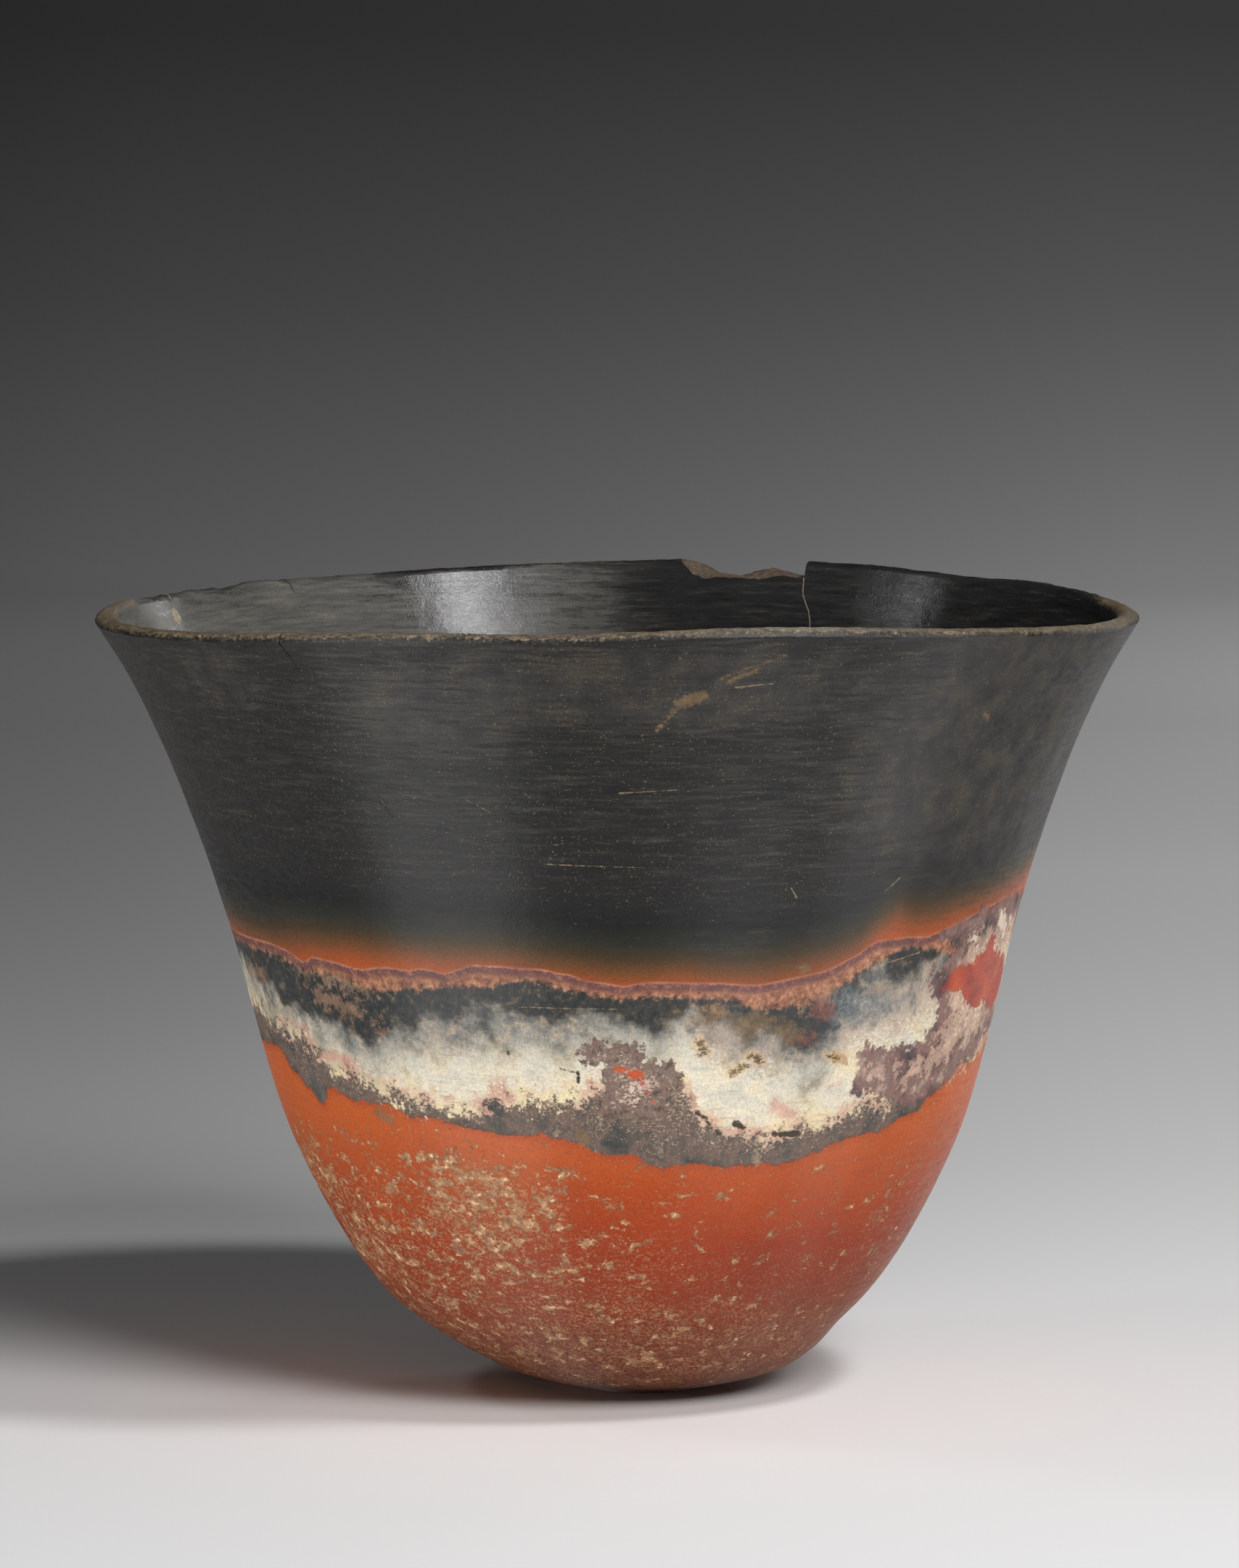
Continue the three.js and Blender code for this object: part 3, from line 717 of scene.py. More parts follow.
EVEN = (None, "cloud", 1, -0.18, 0.18)
FINISHES = [
    # Grainy brown where the slip of the base has worn dull
    Finish("base_wear", 1.05, 0.25, "specks", 5, EVEN, [(0, "#6a422c"), (1, "#93684a")], 0.75, -0.03, 0.8),
    # Tan flecks where the red slip has come off in points
    Finish("worn", 1.0, 0.14, "flecks", 6.8, EVEN, [(0, "#8f5a3a"), (1, "#ab7b56")], 0.8, -0.05, 0.85),
    # Chips that bare the tan clay where the polish is worn through
    Finish("worn", 1.0, 0.1, "chips", 7.5, (None, "flake", 1, -0.14, 0.14),
           [(0, "#6b503d"), (0.4, "#8e694c"), (0.7, "#a67e5a"), (0.9, "#bb9570"), (1, "#d6bc94")],
           0.85, -0.1, 0.95),
    # Brown stain that runs into the red below the crust
    Finish("above_scab", -0.7, 0.9, "cloud", 2.2, EVEN, [(0, "#7c3420"), (1, "#934226")], 0.6, 0, 0.55),
    # Grey-brown crust of ash salts
    Finish("above_scab", 0, 0.15, "lace", 3, (None, "cloud", 1, -0.16, 0.16),
           [(0, "#3a3b3a"), (0.35, "#524a44"), (0.6, "#67554c"), (0.8, "#4b4541"), (1, "#83715f")],
           0.8, 0.12, 1),
    # Pale points on the crust
    Finish("above_scab", 11, 1.4, "specks", 60, EVEN, [(0, "#8d7767"), (1, "#b39c86")], 0.85, 0.16, 0.7),
    # Pink and cream fringe of the ash, broken into flakes and crumbs
    Finish("above_flakes", 1.6, 0.2, "flecks", 34, (None, "cloud", 1, -0.14, 0.14),
           [(0, "#a58a78"), (0.5, "#bba68c"), (1, "#cfc19c")], 0.75, 0.16, 0.9),
    Finish("above_flakes", 0.2, 0.14, "lace", 18, (None, "cloud", 1, -0.14, 0.14),
           [(0, "#a98472"), (0.35, "#bd9f8a"), (0.6, "#c6b494"), (1, "#cfc19c")], 0.7, 0.16, 0.95),
    # White-grey ash, with holes to the crust
    Finish("above_flakes", 2.2, 0.3, "lace", 12, (None, "flake", 1, -0.28, 0.28),
           [(0, "#94887b"), (0.3, "#b7ac9c"), (0.5, "#c3baa7"), (0.75, "#cbc1aa"), (1, "#b59d81")],
           0.6, 0.14, 1),
    # Grey and cream clouds in the ash
    Finish("above_flakes", 3.6, 1.2, "cloud", 9, (None, "cloud", 1, -0.14, 0.14),
           [(0, "#8d908c"), (0.4, "#b2b0a4"), (0.7, "#c8bda4"), (1, "#c9b78a")], 0.55, 0.14, 0.45),
    # Brown crumbs where the ash meets the smoke
    Finish("above_flakes", 10.5, 0.8, "flecks", 30, EVEN, [(0, "#8a7060"), (1, "#b39684")], 0.65, 0.1, 0.6),
    # Pits
    Finish(None, 0.26, 0.04, "specks", 1, EVEN, [(0, "#3c332c"), (1, "#6a5a48")], 0.8, -0.1, 0.8),
    # Grey haze where the ash thins to smoke
    Finish("above_char", -3.6, 3.4, "cloud", 16, (None, "lace", 1, -0.2, 0.2),
           [(0, "#2a2e31"), (0.4, "#4f5557"), (0.65, "#7a7062"), (1, "#a8947c")], 0.55, 0.08, 0.84),
    # Charcoal smoke, flaked off in places down to tan
    Finish("above_char", 0, 1.6, "cloud", 14, (None, "flake", 1, -0.2, 0.22),
           [(0, "#16191c"), (0.45, "#24282a"), (0.7, "#3a3631"), (1, "#735d4d")], 0.5, 0.05, 0.95),
    Finish("above_char", 7.6, 0.9, "drip", 22, EVEN, [(0, "#5f4a3c"), (1, "#8a705c")], 0.6, 0.06, 0.5),
    Finish("above_char", 7.2, 0.9, "flake", 26, EVEN, [(0, "#62503f"), (1, "#8b735f")], 0.6, 0.08, 0.5),
    # Salmon-tan skin above the charcoal
    Finish("above_soot", -0.3, 0.5, "flake", 3.0, (None, "flake", 1, -0.16, 0.16),
           [(0, "#5f3c31"), (0.5, "#835843"), (1, "#a87a5f")], 0.6, 0.02, 1),
    # Mauve band under the pink line
    Finish("above_line", -1.1, 0.35, "flake", 2.2, (None, "flake", 1, -0.16, 0.16),
           [(0, "#493136"), (0.6, "#603f3d"), (1, "#80584b")], 0.6, 0.02, 0.9),
    # Thin pink line
    Finish("above_line", -0.16, 0.12, "grain", 0.5, EVEN, [(0, "#93563f"), (1, "#b57a5c")], 0.6, 0.02, 0.6),
    # Red clay that turns black through olive brown, and the smoked black above it
    Finish("above_line", 0.12, 0.12, "grain", 0.5, ("above_firing", "drift", 2.4, -5.0, 8.5),
           [(0, "#98461f"), (0.13, "#80401f"), (0.27, "#57371e"), (0.4, "#352a1a"), (0.54, "#20201b"),
            (0.72, "#141515"), (1, "#1a1a1a")], 0.42, 0.02, 1),
    # Level strokes of the burnishing pebble, greyer towards the rim
    Finish("above_firing", 13, 8, "burnish", 30, (None, "burnish", 1, -0.15, 0.15),
           [(0, "#131313"), (0.5, "#1d1d1c"), (1, "#31302c")], 0.42, 0.0, 0.85),
    # Grey and brown rubbing on the upper wall
    Finish("rubbed", 0.5, 0.4, "burnish", 2.4, (None, "cloud", 1, -0.16, 0.16),
           [(0, "#262525"), (0.5, "#333130"), (1, "#433d34")], 0.48, 0.0, 0.7),
    # Tan dust in the pores of the black
    Finish("smoked", 22, 0.8, "specks", 80, EVEN, [(0, "#4d4434"), (1, "#7a6a4c")], 0.7, -0.02, 0.6),
    Finish("smoked", 22, 0.8, "flecks", 80, EVEN, [(0, "#6b5c45"), (1, "#948262")], 0.8, -0.04, 0.75),
    # Crust with cream flecks on the right
    Finish("right_crust", 0, 0.3, "lace", 9, (None, "cloud", 1, -0.16, 0.16),
           [(0, "#40393a"), (0.35, "#5f4b48"), (0.55, "#7b5d57"), (0.75, "#6a5a52"), (1, "#a0847a")],
           0.8, 0.1, 1),
    Finish("right_crust", 3.4, 0.5, "lace", 20, EVEN, [(0, "#8f7468"), (1, "#bfa48e")], 0.8, 0.14, 0.8),
    Finish("right_crust", 6.6, 0.6, "flecks", 26, EVEN, [(0, "#b39a86"), (1, "#d8c8ae")], 0.8, 0.16, 0.85),
    # Red slip that the ash missed
    Finish("red_window", 0.3, 0.3, "lace", 6, (None, "cloud", 1, -0.16, 0.16),
           [(0, "#7a3833"), (0.5, "#933d30"), (1, "#a04a2f")], 0.6, 0.02, 0.95),
    # Blue-grey and olive smoke at the top of the ash
    Finish("blue_patch", 0.3, 1.4, "cloud", 9, (None, "flake", 1, -0.16, 0.16),
           [(0, "#33393d"), (0.6, "#60686b"), (1, "#948d7e")], 0.55, 0.1, 0.7),
    Finish("olive_smoke", 0, 1.2, "cloud", 8, (None, "flake", 1, -0.16, 0.16),
           [(0, "#41382a"), (1, "#755d40")], 0.55, 0.05, 0.75),
    # An island of mauve crust in the ash, with a red streak across it
    Finish("mauve_island", 0.5, 0.15, "lace", 10, (None, "flake", 1, -0.16, 0.16),
           [(0, "#37342f"), (0.3, "#57493f"), (0.5, "#745a52"), (0.65, "#5f5650"), (0.85, "#7c6a5c"),
            (1, "#a8917c")], 0.75, 0.05, 0.97),
    Finish("mauve_island", 3.8, 0.4, "flecks", 22, EVEN, [(0, "#b3978a"), (1, "#d0bba8")], 0.8, 0.12, 0.8),
    Finish("red_streak", 0, 0.2, "flake", 1.6, (None, "flake", 1, -0.16, 0.16),
           [(0, "#8a3d2c"), (1, "#b0532f")], 0.6, 0.05, 1),
    # Small marks
    Finish("tan_mottles", 0.4, 0.9, "flake", 9, EVEN, [(0, "#745a49"), (1, "#8d6f59")], 0.6, 0.05, 0.55),
    Finish("mauve_stains", 0.2, 0.7, "flake", 4, EVEN, [(0, "#5f3a38"), (1, "#74463f")], 0.6, 0.05, 0.6),
    Finish("pink_stains", 0.2, 0.6, "flake", 6, EVEN, [(0, "#a07064"), (1, "#b98a7c")], 0.6, 0.14, 0.7),
    Finish("tan_flakes", 0.1, 0.1, "flake", 2.4, EVEN, [(0, "#8f6c50"), (1, "#a98867")], 0.7, 0.2, 0.9),
    Finish("brown_spots", -0.5, 0.5, "flake", 3, EVEN, [(0, "#b08f66"), (1, "#c4a880")], 0.6, 0.14, 0.5),
    Finish("brown_spots", 0.1, 0.16, "flecks", 5, EVEN, [(0, "#3f311f"), (1, "#6b5636")], 0.6, -0.05, 0.95),
    Finish("dark_nodule", 0, 0.2, "flake", 2.4, EVEN, [(0, "#45423f"), (1, "#666059")], 0.7, 0.2, 1),
    Finish("cream_flecks", 0.2, 0.3, "flake", 7, EVEN, [(0, "#c0ad9c"), (1, "#dccfbd")], 0.7, 0.2, 0.85),
    Finish("tan_smears", 0.2, 0.25, "flecks", 4, EVEN, [(0, "#564632"), (1, "#7a6448")], 0.75, 0.03, 0.7),
    Finish("pale_scratches", 0.03, 0.06, "flake", 0.6, EVEN, [(0, "#7d6b52"), (1, "#988464")],
           0.7, -0.03, 0.65),
    Finish("dark_gouges", 0.12, 0.1, "lace", 2.6, EVEN, [(0, "#2f2a24"), (1, "#473a30")], 0.7, -0.12, 1),
    # The inside, smoked black to the floor
    Finish("inside", 0.5, 0.1, "grain", 0, (None, "burnish", 1, -0.15, 0.15),
           [(0, "#191919"), (0.6, "#242423"), (1, "#34322f")], 0.16, 0, 1),
    # Grey on the inside: partly rubbed clay, partly painted sheen of the burnish round the bright spot
    Finish("inside_rubbed", 0.5, 0.5, "burnish", 0.8, (None, "burnish", 1, -0.2, 0.2),
           [(0, "#3b3b39"), (0.5, "#53524e"), (1, "#6a665d")], 0.45, 0, 0.85),
    # The lip, rubbed to speckled tan
    Finish("above_lip", -0.5, 0.35, "flecks", 4, (None, "flecks", 1, -0.2, 0.2),
           [(0, "#2d2924"), (0.4, "#4f463a"), (0.7, "#736550"), (1, "#b39d78")], 0.65, -0.02, 0.85),
]


def mark_depth(tree, flat, strokes):
    """How far inside the nearest of some strokes each point lies, in millimetres."""
    deepest = None
    for start_turn, start_height, end_turn, end_height, half in strokes:
        start = Vector((*laid_flat(start_turn, start_height), 0))
        side = Vector((*laid_flat(end_turn, end_height), 0)) - start
        off = add(tree, "ShaderNodeVectorMath", {0: flat, 1: start}, operation="SUBTRACT")
        share = add(
            tree, "ShaderNodeVectorMath", {0: off.outputs[0], 1: side / side.length_squared},
            operation="DOT_PRODUCT",
        )
        held = add(tree, "ShaderNodeClamp", {0: share.outputs["Value"]})
        along = add(
            tree, "ShaderNodeVectorMath", {0: side, "Scale": held.outputs[0]}, operation="SCALE",
        )
        away = add(
            tree, "ShaderNodeVectorMath", {0: off.outputs[0], 1: along.outputs[0]},
            operation="DISTANCE",
        )
        depth = add(tree, "ShaderNodeMath", {0: half, 1: away.outputs["Value"]}, operation="SUBTRACT")
        if deepest:
            depth = add(tree, "ShaderNodeMath", {0: deepest, 1: depth.outputs[0]}, operation="MAXIMUM")
        deepest = depth.outputs[0]
    return deepest


def lay_finish(tree, fields, patterns, finish, under):
    """Lays a finish over what is under it, and returns the new colour, roughness and relief."""
    middle = finish.reach / 2 + finish.edge
    value = patterns[finish.pattern]
    if finish.field:
        value = add(
            tree, "ShaderNodeMath", {0: value, 1: finish.reach, 2: fields[finish.field]},
            operation="MULTIPLY_ADD",
        ).outputs[0]
    mask = add(
        tree, "ShaderNodeMapRange",
        {0: value, 1: middle - finish.soft, 2: middle + finish.soft, 3: 0.0, 4: finish.cover},
        interpolation_type="SMOOTHSTEP",
    ).outputs[0]
    field, name, reach, low, high = finish.tint
    value = patterns[name]
    if field:
        value = add(
            tree, "ShaderNodeMath", {0: value, 1: reach, 2: fields[field]}, operation="MULTIPLY_ADD",
        ).outputs[0]
    share = add(tree, "ShaderNodeMapRange", {0: value, 1: low + reach / 2, 2: high + reach / 2})
    tint = add(tree, "ShaderNodeValToRGB", {0: share.outputs[0]}, stops=finish.colours)
    colour_under, rough_under, relief_under = under
    mixed = add(
        tree, "ShaderNodeMix", {SHARE: mask, UNDER: colour_under, OVER: tint.outputs[0]},
        data_type="RGBA",
    ).outputs[MIXED]
    rough = add(tree, "ShaderNodeMix", {SHARE: mask, LOW: rough_under, HIGH: finish.rough})
    relief = add(tree, "ShaderNodeMix", {SHARE: mask, LOW: relief_under, HIGH: finish.relief})
    return mixed, rough.outputs[0], relief.outputs[0]


def burnished_clay():
    """Burnished earthenware. Rubbing with a pebble along the rim left level strokes, so its
    highlights spread up and down and end sharply at the sides."""
    material = bpy.data.materials.new("burnished_earthenware")
    material.use_nodes = True
    tree = material.node_tree
    surface = tree.nodes["Principled BSDF"]
    place = add(tree, "ShaderNodeTexCoord").outputs["Object"]
    in_mm = add(
        tree, "ShaderNodeVectorMath", {0: place, "Scale": 1 / MM}, operation="SCALE",
    ).outputs[0]
    patterns = {}
    for name, (size, stretch, detail, roughness) in PATTERNS.items():
        stretched = add(tree, "ShaderNodeVectorMath", {0: in_mm, 1: stretch}, operation="MULTIPLY")
        patterns[name] = add(
            tree, "ShaderNodeTexNoise",
            {"Vector": stretched.outputs[0], "Scale": 1 / size, "Detail": detail, "Roughness": roughness},
        ).outputs[0]
    fields = {}
    for name in (*WALL_FIELDS, *LINES, *PATCHES):
        fields[name] = add(tree, "ShaderNodeAttribute", attribute_name=name).outputs["Fac"]
    flat = add(tree, "ShaderNodeAttribute", attribute_name="laid_flat").outputs["Vector"]
    for name, strokes in MARKS.items():
        fields[name] = mark_depth(tree, flat, strokes)

    # The slip, with its painted shade towards the base, lies under every other finish
    level = add(
        tree, "ShaderNodeMath", {0: patterns["drift"], 1: SLIP_WANDERS, 2: fields["height"]},
        operation="MULTIPLY_ADD",
    )
    share = add(
        tree, "ShaderNodeMapRange", {0: level.outputs[0], 1: SLIP_HEIGHTS[0], 2: SLIP_HEIGHTS[1]},
    )
    slip_and_shade = add(tree, "ShaderNodeValToRGB", {0: share.outputs[0]}, stops=SLIP_AND_UNDERSIDE_SHADE)
    state = slip_and_shade.outputs[0], SLIP_ROUGHNESS, 0.0
    for finish in FINISHES:
        state = lay_finish(tree, fields, patterns, finish, state)
    tint, rough, relief = state

    # Grain varies the colour a little and gives the surface its tooth
    grain = add(tree, "ShaderNodeMapRange", {0: patterns["grain"], 1: 0.3, 2: 0.7, 3: 0.84, 4: 1.16})
    tint = add(tree, "ShaderNodeVectorMath", {0: tint, "Scale": grain.outputs[0]}, operation="SCALE")
    for name in ("burnish", "flake"):
        uneven = add(tree, "ShaderNodeMapRange", {0: patterns[name], 1: 0.3, 2: 0.7, 3: -0.1, 4: 0.1})
        rough = add(tree, "ShaderNodeMath", {0: rough, 1: uneven.outputs[0]}, operation="ADD").outputs[0]
    tooth = add(
        tree, "ShaderNodeMath", {0: patterns["grain"], 1: GRAIN_TOOTH, 2: relief}, operation="MULTIPLY_ADD",
    )
    strokes = add(
        tree, "ShaderNodeMath", {0: patterns["burnish"], 1: STROKE_DEPTH, 2: tooth.outputs[0]},
        operation="MULTIPLY_ADD",
    )
    hollows = add(
        tree, "ShaderNodeMath", {0: patterns["cloud"], 1: HOLLOW_DEPTH, 2: strokes.outputs[0]},
        operation="MULTIPLY_ADD",
    )
    bump = add(
        tree, "ShaderNodeBump", {"Strength": 0.6, "Distance": MM, "Height": hollows.outputs[0]},
    )
    ring = add(
        tree, "ShaderNodeVectorMath", {0: (0.0, 0.0, 1.0), 1: place}, operation="CROSS_PRODUCT",
    )
    tree.links.new(tint.outputs[0], surface.inputs["Base Color"])
    tree.links.new(rough, surface.inputs["Roughness"])
    tree.links.new(bump.outputs[0], surface.inputs["Normal"])
    tree.links.new(ring.outputs[0], surface.inputs["Tangent"])
    surface.inputs["Specular IOR Level"].default_value = 0.3
    surface.inputs["Anisotropic"].default_value = 0.95
    surface.inputs["Anisotropic Rotation"].default_value = 0.25
    return material


def grainy_material(name, size, colours, rough, tooth, specular=0.5):
    """A finish with an uneven grain of this size, and its tooth in millimetres."""
    material = bpy.data.materials.new(name)
    material.use_nodes = True
    tree = material.node_tree
    surface = tree.nodes["Principled BSDF"]
    place = add(tree, "ShaderNodeTexCoord").outputs["Object"]
    grain = add(
        tree, "ShaderNodeTexNoise",
        {"Vector": place, "Scale": 1 / (size * MM), "Detail": 5, "Roughness": 0.6},
    ).outputs[0]
    share = add(tree, "ShaderNodeMapRange", {0: grain, 1: 0.35, 2: 0.65})
    tint = add(tree, "ShaderNodeValToRGB", {0: share.outputs[0]}, stops=colours)
    gloss = add(
        tree, "ShaderNodeMapRange", {0: grain, 1: 0.3, 2: 0.7, 3: rough - 0.08, 4: rough + 0.08},
    )
    bump = add(tree, "ShaderNodeBump", {"Strength": 0.8, "Distance": tooth * MM, "Height": grain})
    tree.links.new(tint.outputs[0], surface.inputs["Base Color"])
    tree.links.new(gloss.outputs[0], surface.inputs["Roughness"])
    tree.links.new(bump.outputs[0], surface.inputs["Normal"])
    surface.inputs["Specular IOR Level"].default_value = specular
    return material


# The camera's place in metres, its downward tilt in degrees and its lens in millimetres
CAMERA_PLACE = (-0.00284, -1.0, 0.173)
CAMERA_TILT = 5.15
CAMERA_LENS = 168.1


def make_camera():
    """The camera stands a metre in front, above the rim, and looks slightly down."""
    data = bpy.data.cameras.new("camera")
    data.lens = CAMERA_LENS
    made = bpy.data.objects.new("camera", data)
    made.location = CAMERA_PLACE
    made.rotation_euler = (radians(90 - CAMERA_TILT), 0, 0)
    bpy.context.scene.collection.objects.link(made)
    bpy.context.scene.camera = made


# The paper sweep, in metres
FLOOR_FRONT = -3.0
FLOOR_BACK = 1.7
SWEEP_RADIUS = 0.7
SWEEP_TOP = 3.2
SWEEP_WIDTH = 7.0
SWEEP_STEPS = 25
# How far out the paper is darkened with painted shade, and how much of its tone is left there
PAPER_SHADED_SIDES = (0.2, 0.8)
FAR_SIDE_PAINTED_SHADE = 0.4
# Painted shade on the paper, as its tones from the front of the floor up the wall, over this span of Y plus
# Z: dark in front, pale round the beaker, darker up the wall, and darker on the left than on the right
PAPER_SPAN = (-1.8, 3.0)
PAPER_SHADE_IN_FRONT = [(0, "#8a8a8a"), (0.19, "#9c9c9c"), (0.28, "#cccccc"), (0.34, "#fafafa")]
PAPER_SHADE_ON_THE_LEFT = [
    (0.376, "#fafafa"), (0.387, "#e9e9e9"), (0.3975, "#d6d6d6"), (0.42, "#b8b8b8"), (0.46, "#afafaf"),
    (0.52, "#a4a4a4"), (0.607, "#949494"), (0.68, "#8f8f8f"), (0.747, "#888888"), (0.793, "#747474"),
    (0.827, "#606060"), (0.88, "#424242"),
]
PAPER_SHADE_ON_THE_RIGHT = [
    (0.387, "#fafafa"), (0.42, "#f0f0f0"), (0.46, "#efefef"), (0.52, "#eaeaea"), (0.607, "#bababa"),
    (0.68, "#9f9f9f"), (0.747, "#8c8c8c"), (0.793, "#747474"), (0.827, "#5f5f5f"), (0.88, "#404040"),
]


def make_stage():
    """A pale paper sweep: a level floor that curves up into a wall, with painted shade that makes it darker
    with distance.
    """
    turn = np.linspace(0, math.pi / 2, SWEEP_STEPS)
    bend = np.column_stack([
        FLOOR_BACK + SWEEP_RADIUS * np.sin(turn), SWEEP_RADIUS * (1 - np.cos(turn)),
    ])
    profile = [(FLOOR_FRONT, 0.0), *bend, (FLOOR_BACK + SWEEP_RADIUS, SWEEP_TOP)]
    bm = bmesh.new()
    line = [bm.verts.new((-SWEEP_WIDTH / 2, y, z)) for y, z in profile]
    edges = [bm.edges.new(pair) for pair in zip(line, line[1:])]
    pushed = bmesh.ops.extrude_edge_only(bm, edges=edges)["geom"]
    moved = [part for part in pushed if isinstance(part, bmesh.types.BMVert)]
    bmesh.ops.translate(bm, verts=moved, vec=(SWEEP_WIDTH, 0, 0))
    bmesh.ops.recalc_face_normals(bm, faces=bm.faces)
    material = bpy.data.materials.new("matt_paper_with_painted_shade")
    material.use_nodes = True
    tree = material.node_tree
    surface = tree.nodes["Principled BSDF"]
    place = add(tree, "ShaderNodeTexCoord").outputs["Object"]
    axes = add(tree, "ShaderNodeSeparateXYZ", {0: place})
    away = add(
        tree, "ShaderNodeMath", {0: axes.outputs["Y"], 1: axes.outputs["Z"]}, operation="ADD",
    )
    share = add(
        tree, "ShaderNodeMapRange", {0: away.outputs[0], 1: PAPER_SPAN[0], 2: PAPER_SPAN[1]},
    )
    # The paper's painted shade, as one ramp for its left and one for its right
    left, right = (
        add(tree, "ShaderNodeValToRGB", {0: share.outputs[0]}, stops=[*PAPER_SHADE_IN_FRONT, *shade_stops])
        for shade_stops in (PAPER_SHADE_ON_THE_LEFT, PAPER_SHADE_ON_THE_RIGHT)
    )
    # Painted light and shade: paler on the right than on the left, along lines that spread from the front
    # of the floor
    across = add(tree, "ShaderNodeMath", {0: away.outputs[0], 1: 1.0}, operation="ADD")
    across = add(
        tree, "ShaderNodeMath", {0: axes.outputs["X"], 1: across.outputs[0]}, operation="DIVIDE",
    )
    across = add(
        tree, "ShaderNodeMapRange", {0: across.outputs[0], 1: -0.1, 2: 0.1},
        interpolation_type="SMOOTHSTEP",
    )
    tint = add(
        tree, "ShaderNodeMix",
        {SHARE: across.outputs[0], UNDER: left.outputs[0], OVER: right.outputs[0]}, data_type="RGBA",
    )
    # Painted shade: grey far out on both sides
    near, far = PAPER_SHADED_SIDES
    side = add(tree, "ShaderNodeMath", {0: axes.outputs["X"]}, operation="ABSOLUTE")
    side = add(
        tree, "ShaderNodeMapRange", {0: side.outputs[0], 1: near, 2: far, 3: 1.0, 4: FAR_SIDE_PAINTED_SHADE},
    )
    tint = add(
        tree, "ShaderNodeVectorMath", {0: tint.outputs[MIXED], "Scale": side.outputs[0]},
        operation="SCALE",
    )
    tree.links.new(tint.outputs[0], surface.inputs["Base Color"])
    surface.inputs["Roughness"].default_value = 0.9
    surface.inputs["Specular IOR Level"].default_value = 0.1
    made = finish_mesh(bm, "paper_sweep", material)
    made.data.shade_smooth()


# Soft boxes, as place, the point they face, width and height in metres, and watts
BEAKER_MIDDLE = (0.0, 0.0, 0.06)
SOFT_BOXES = {
    "key_soft_box": ((0.49, -0.76, 0.7), BEAKER_MIDDLE, 0.46, 0.46, 7.6),
    "key_lamp": ((0.46, -0.37, 0.99), BEAKER_MIDDLE, 0.14, 0.14, 4.2),
    "side_soft_box": ((-0.57, -0.55, 0.085), BEAKER_MIDDLE, 0.56, 0.14, 6.2),
    "right_soft_box": ((0.85, -0.35, 0.12), BEAKER_MIDDLE, 0.4, 0.16, 3.8),
    "high_soft_box": ((-0.72, 0.03, 0.83), BEAKER_MIDDLE, 0.14, 0.14, 0.5),
    "backdrop_soft_box": ((1.0, 1.45, 0.55), (-0.1, 2.1, 0.1), 0.6, 0.4, 12.0),
}
ROOM_GLOW = 0.03


def make_lights():
    """Soft boxes and a dim grey room."""
    for name, (place, faces, width, tall, watts) in SOFT_BOXES.items():
        data = bpy.data.lights.new(name, "AREA")
        data.shape = "RECTANGLE"
        data.size, data.size_y = width, tall
        data.energy = watts
        made = bpy.data.objects.new(name, data)
        made.location = place
        made.rotation_euler = (Vector(place) - Vector(faces)).to_track_quat("Z", "Y").to_euler()
        bpy.context.scene.collection.objects.link(made)
    world = bpy.data.worlds.new("dim_room")
    world.use_nodes = True
    room = world.node_tree.nodes["Background"]
    room.inputs["Color"].default_value = colour("#ffffff")
    room.inputs["Strength"].default_value = ROOM_GLOW
    bpy.context.scene.world = world
    bpy.context.scene.view_settings.view_transform = "Standard"


make_camera()
make_stage()
make_lights()

# Edges that turn by more degrees than this are broken edges, and look sharp
SHARP_PAST = 38

clay = burnished_clay()
# Fresh breaks show the coarse brown body under the slip
broken_clay = grainy_material(
    "broken_earthenware", 0.7, [(0, "#2e261e"), (0.5, "#463829"), (1, "#64523c")], 0.85, 0.5,
)
# Old glue, gone brown, still a little shiny
glue = grainy_material(
    "aged_clear_adhesive", 0.6, [(0, "#564a3c"), (0.5, "#76695a"), (1, "#94866f")], 0.4, 0.1,
)
# Soft plaster with a dry face, toned down to the clay
plaster = grainy_material(
    "toned_plaster", 0.4, [(0, "#6b6152"), (0.5, "#857967"), (1, "#9f927c")], 0.85, 0.15, 0.3,
)

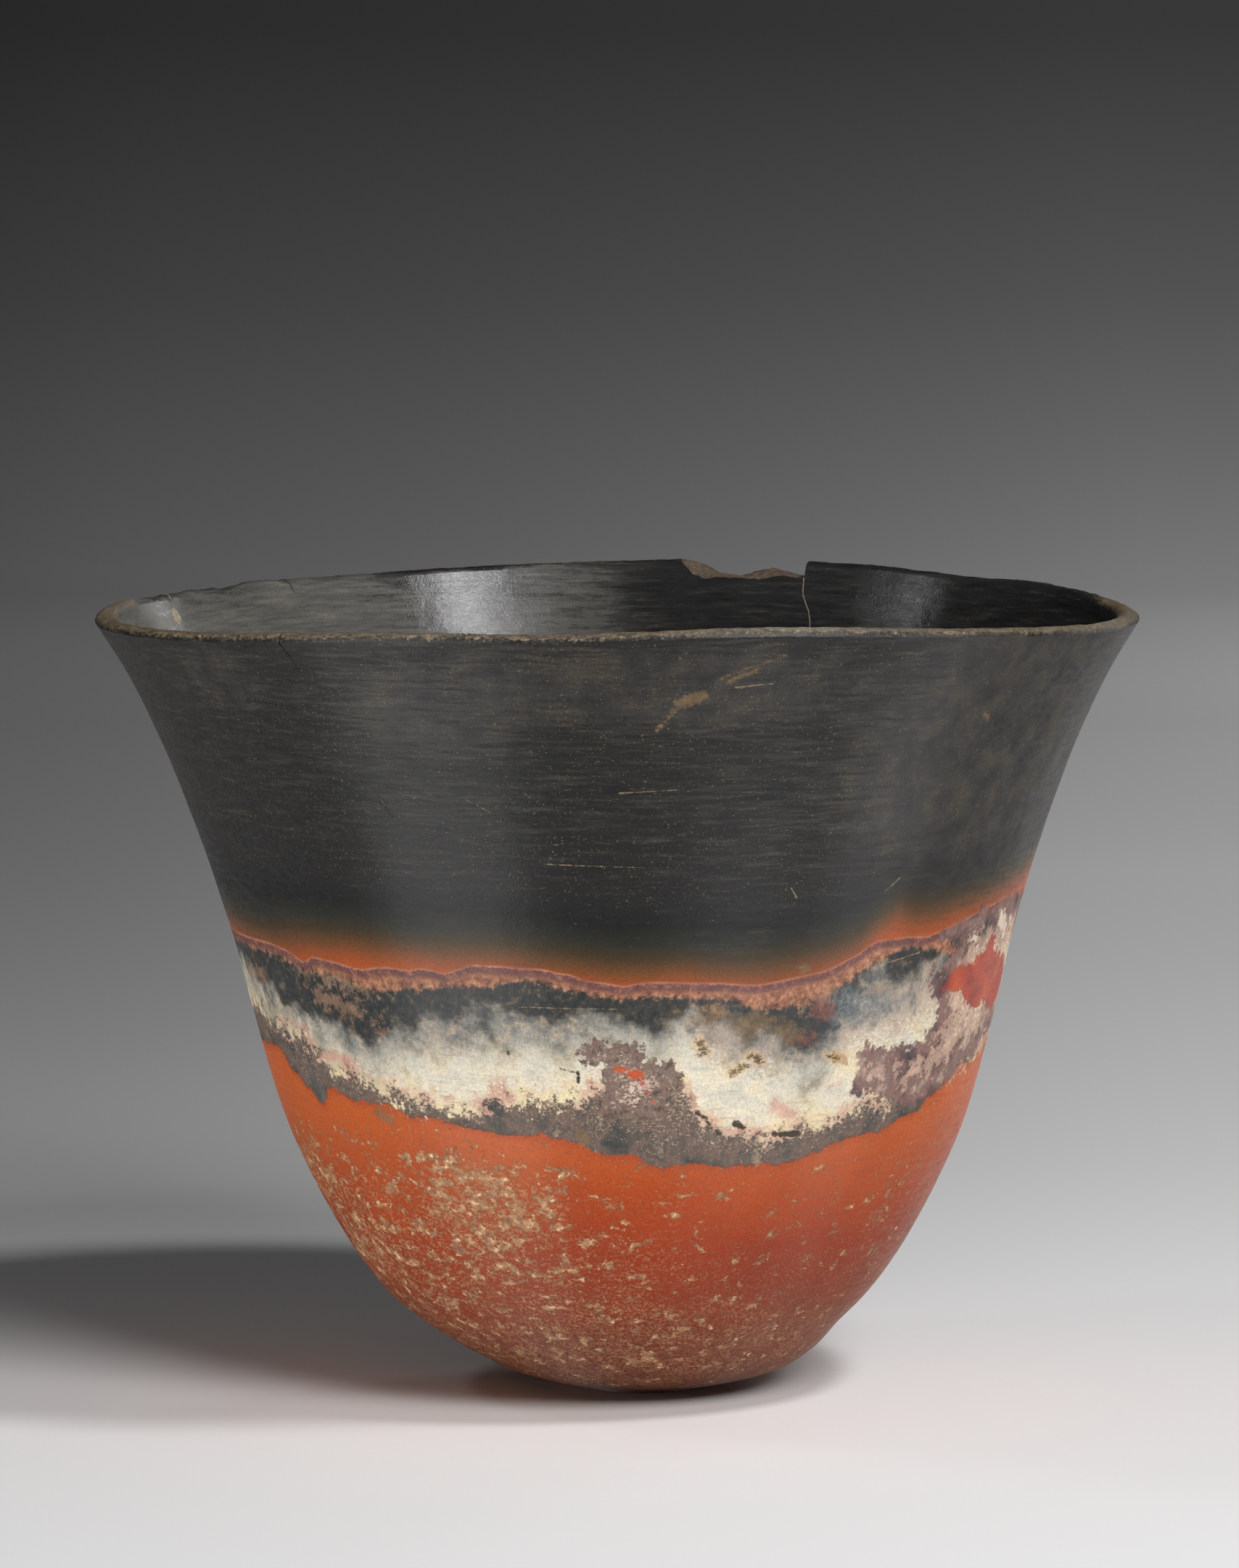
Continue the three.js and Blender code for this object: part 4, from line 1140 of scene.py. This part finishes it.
pot = whole_pot(clay)
for number, points in enumerate(CRACKS):
    crack = crack_solid(number, points, broken_clay)
    combine(pot, crack, "DIFFERENCE")
    bpy.data.objects.remove(crack)
path, outwards = break_path()
gap = outwards * JOIN_GAP / 2
outer_block = through_wall("outer_block", rolled(path + gap), broken_clay)
inner_block = through_wall("inner_block", rolled(path - gap), broken_clay)
chip = chip_solid(broken_clay)
body = combine(copy_of(pot, "clay_body"), outer_block, "DIFFERENCE")
sherd = combine(copy_of(pot, "clay_rear_sherd"), inner_block, "INTERSECT")
combine(sherd, chip, "DIFFERENCE")

# Glue fills each of the three breaks
turns = [int(np.argmin(np.hypot(*(path - unrolled([at])[0]).T))) for at in (LOWER_BREAK[0], LEFT_BREAK[0])]
joins = {}
for side, start, end in zip(("right", "lower", "left"), (0, *turns), (*turns, len(path) - 1)):
    part = slice(start, end + 1)
    strip = through_wall("glue_" + side + "_join", ribbon(path[part], outwards[part], GLUE_WIDTH / 2), glue)
    joins[side] = combine(strip, pot, "INTERSECT")
combine(joins["right"], chip, "DIFFERENCE")

filler = through_wall("plaster_left_join", FILLER, plaster, FILLER_RADII)
for piece in (body, sherd, joins["left"]):
    combine(piece, filler, "DIFFERENCE")
combine(filler, pot, "INTERSECT")

for cutter in (pot, outer_block, inner_block, chip):
    bpy.data.objects.remove(cutter)

mark_wall(body)
mark_wall(sherd)
only_material(filler, plaster)
for join in joins.values():
    only_material(join, glue)

stands_for = [
    (body, "vessel_body", "black_topped_red_ware"),
    (sherd, "rear_rim_sherd", "black_topped_red_ware"),
    (joins["right"], "right_join_adhesive", "join_adhesive"),
    (joins["lower"], "lower_join_adhesive", "join_adhesive"),
    (joins["left"], "left_join_adhesive", "join_adhesive"),
    (filler, "left_join_fill", "gap_filler"),
]
for piece, node, slot in stands_for:
    piece.data.shade_smooth()
    piece.data.set_sharp_from_angle(angle=radians(SHARP_PAST))
    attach(piece, "root")
    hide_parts(node)

# The two low soft boxes light the beaker only, as if cards kept them off the paper
lit = bpy.data.collections.new("lit_by_low_boxes")
for piece, node, slot in stands_for:
    lit.objects.link(piece)
for name in ("side_soft_box", "right_soft_box"):
    bpy.data.objects[name].light_linking.receiver_collection = lit
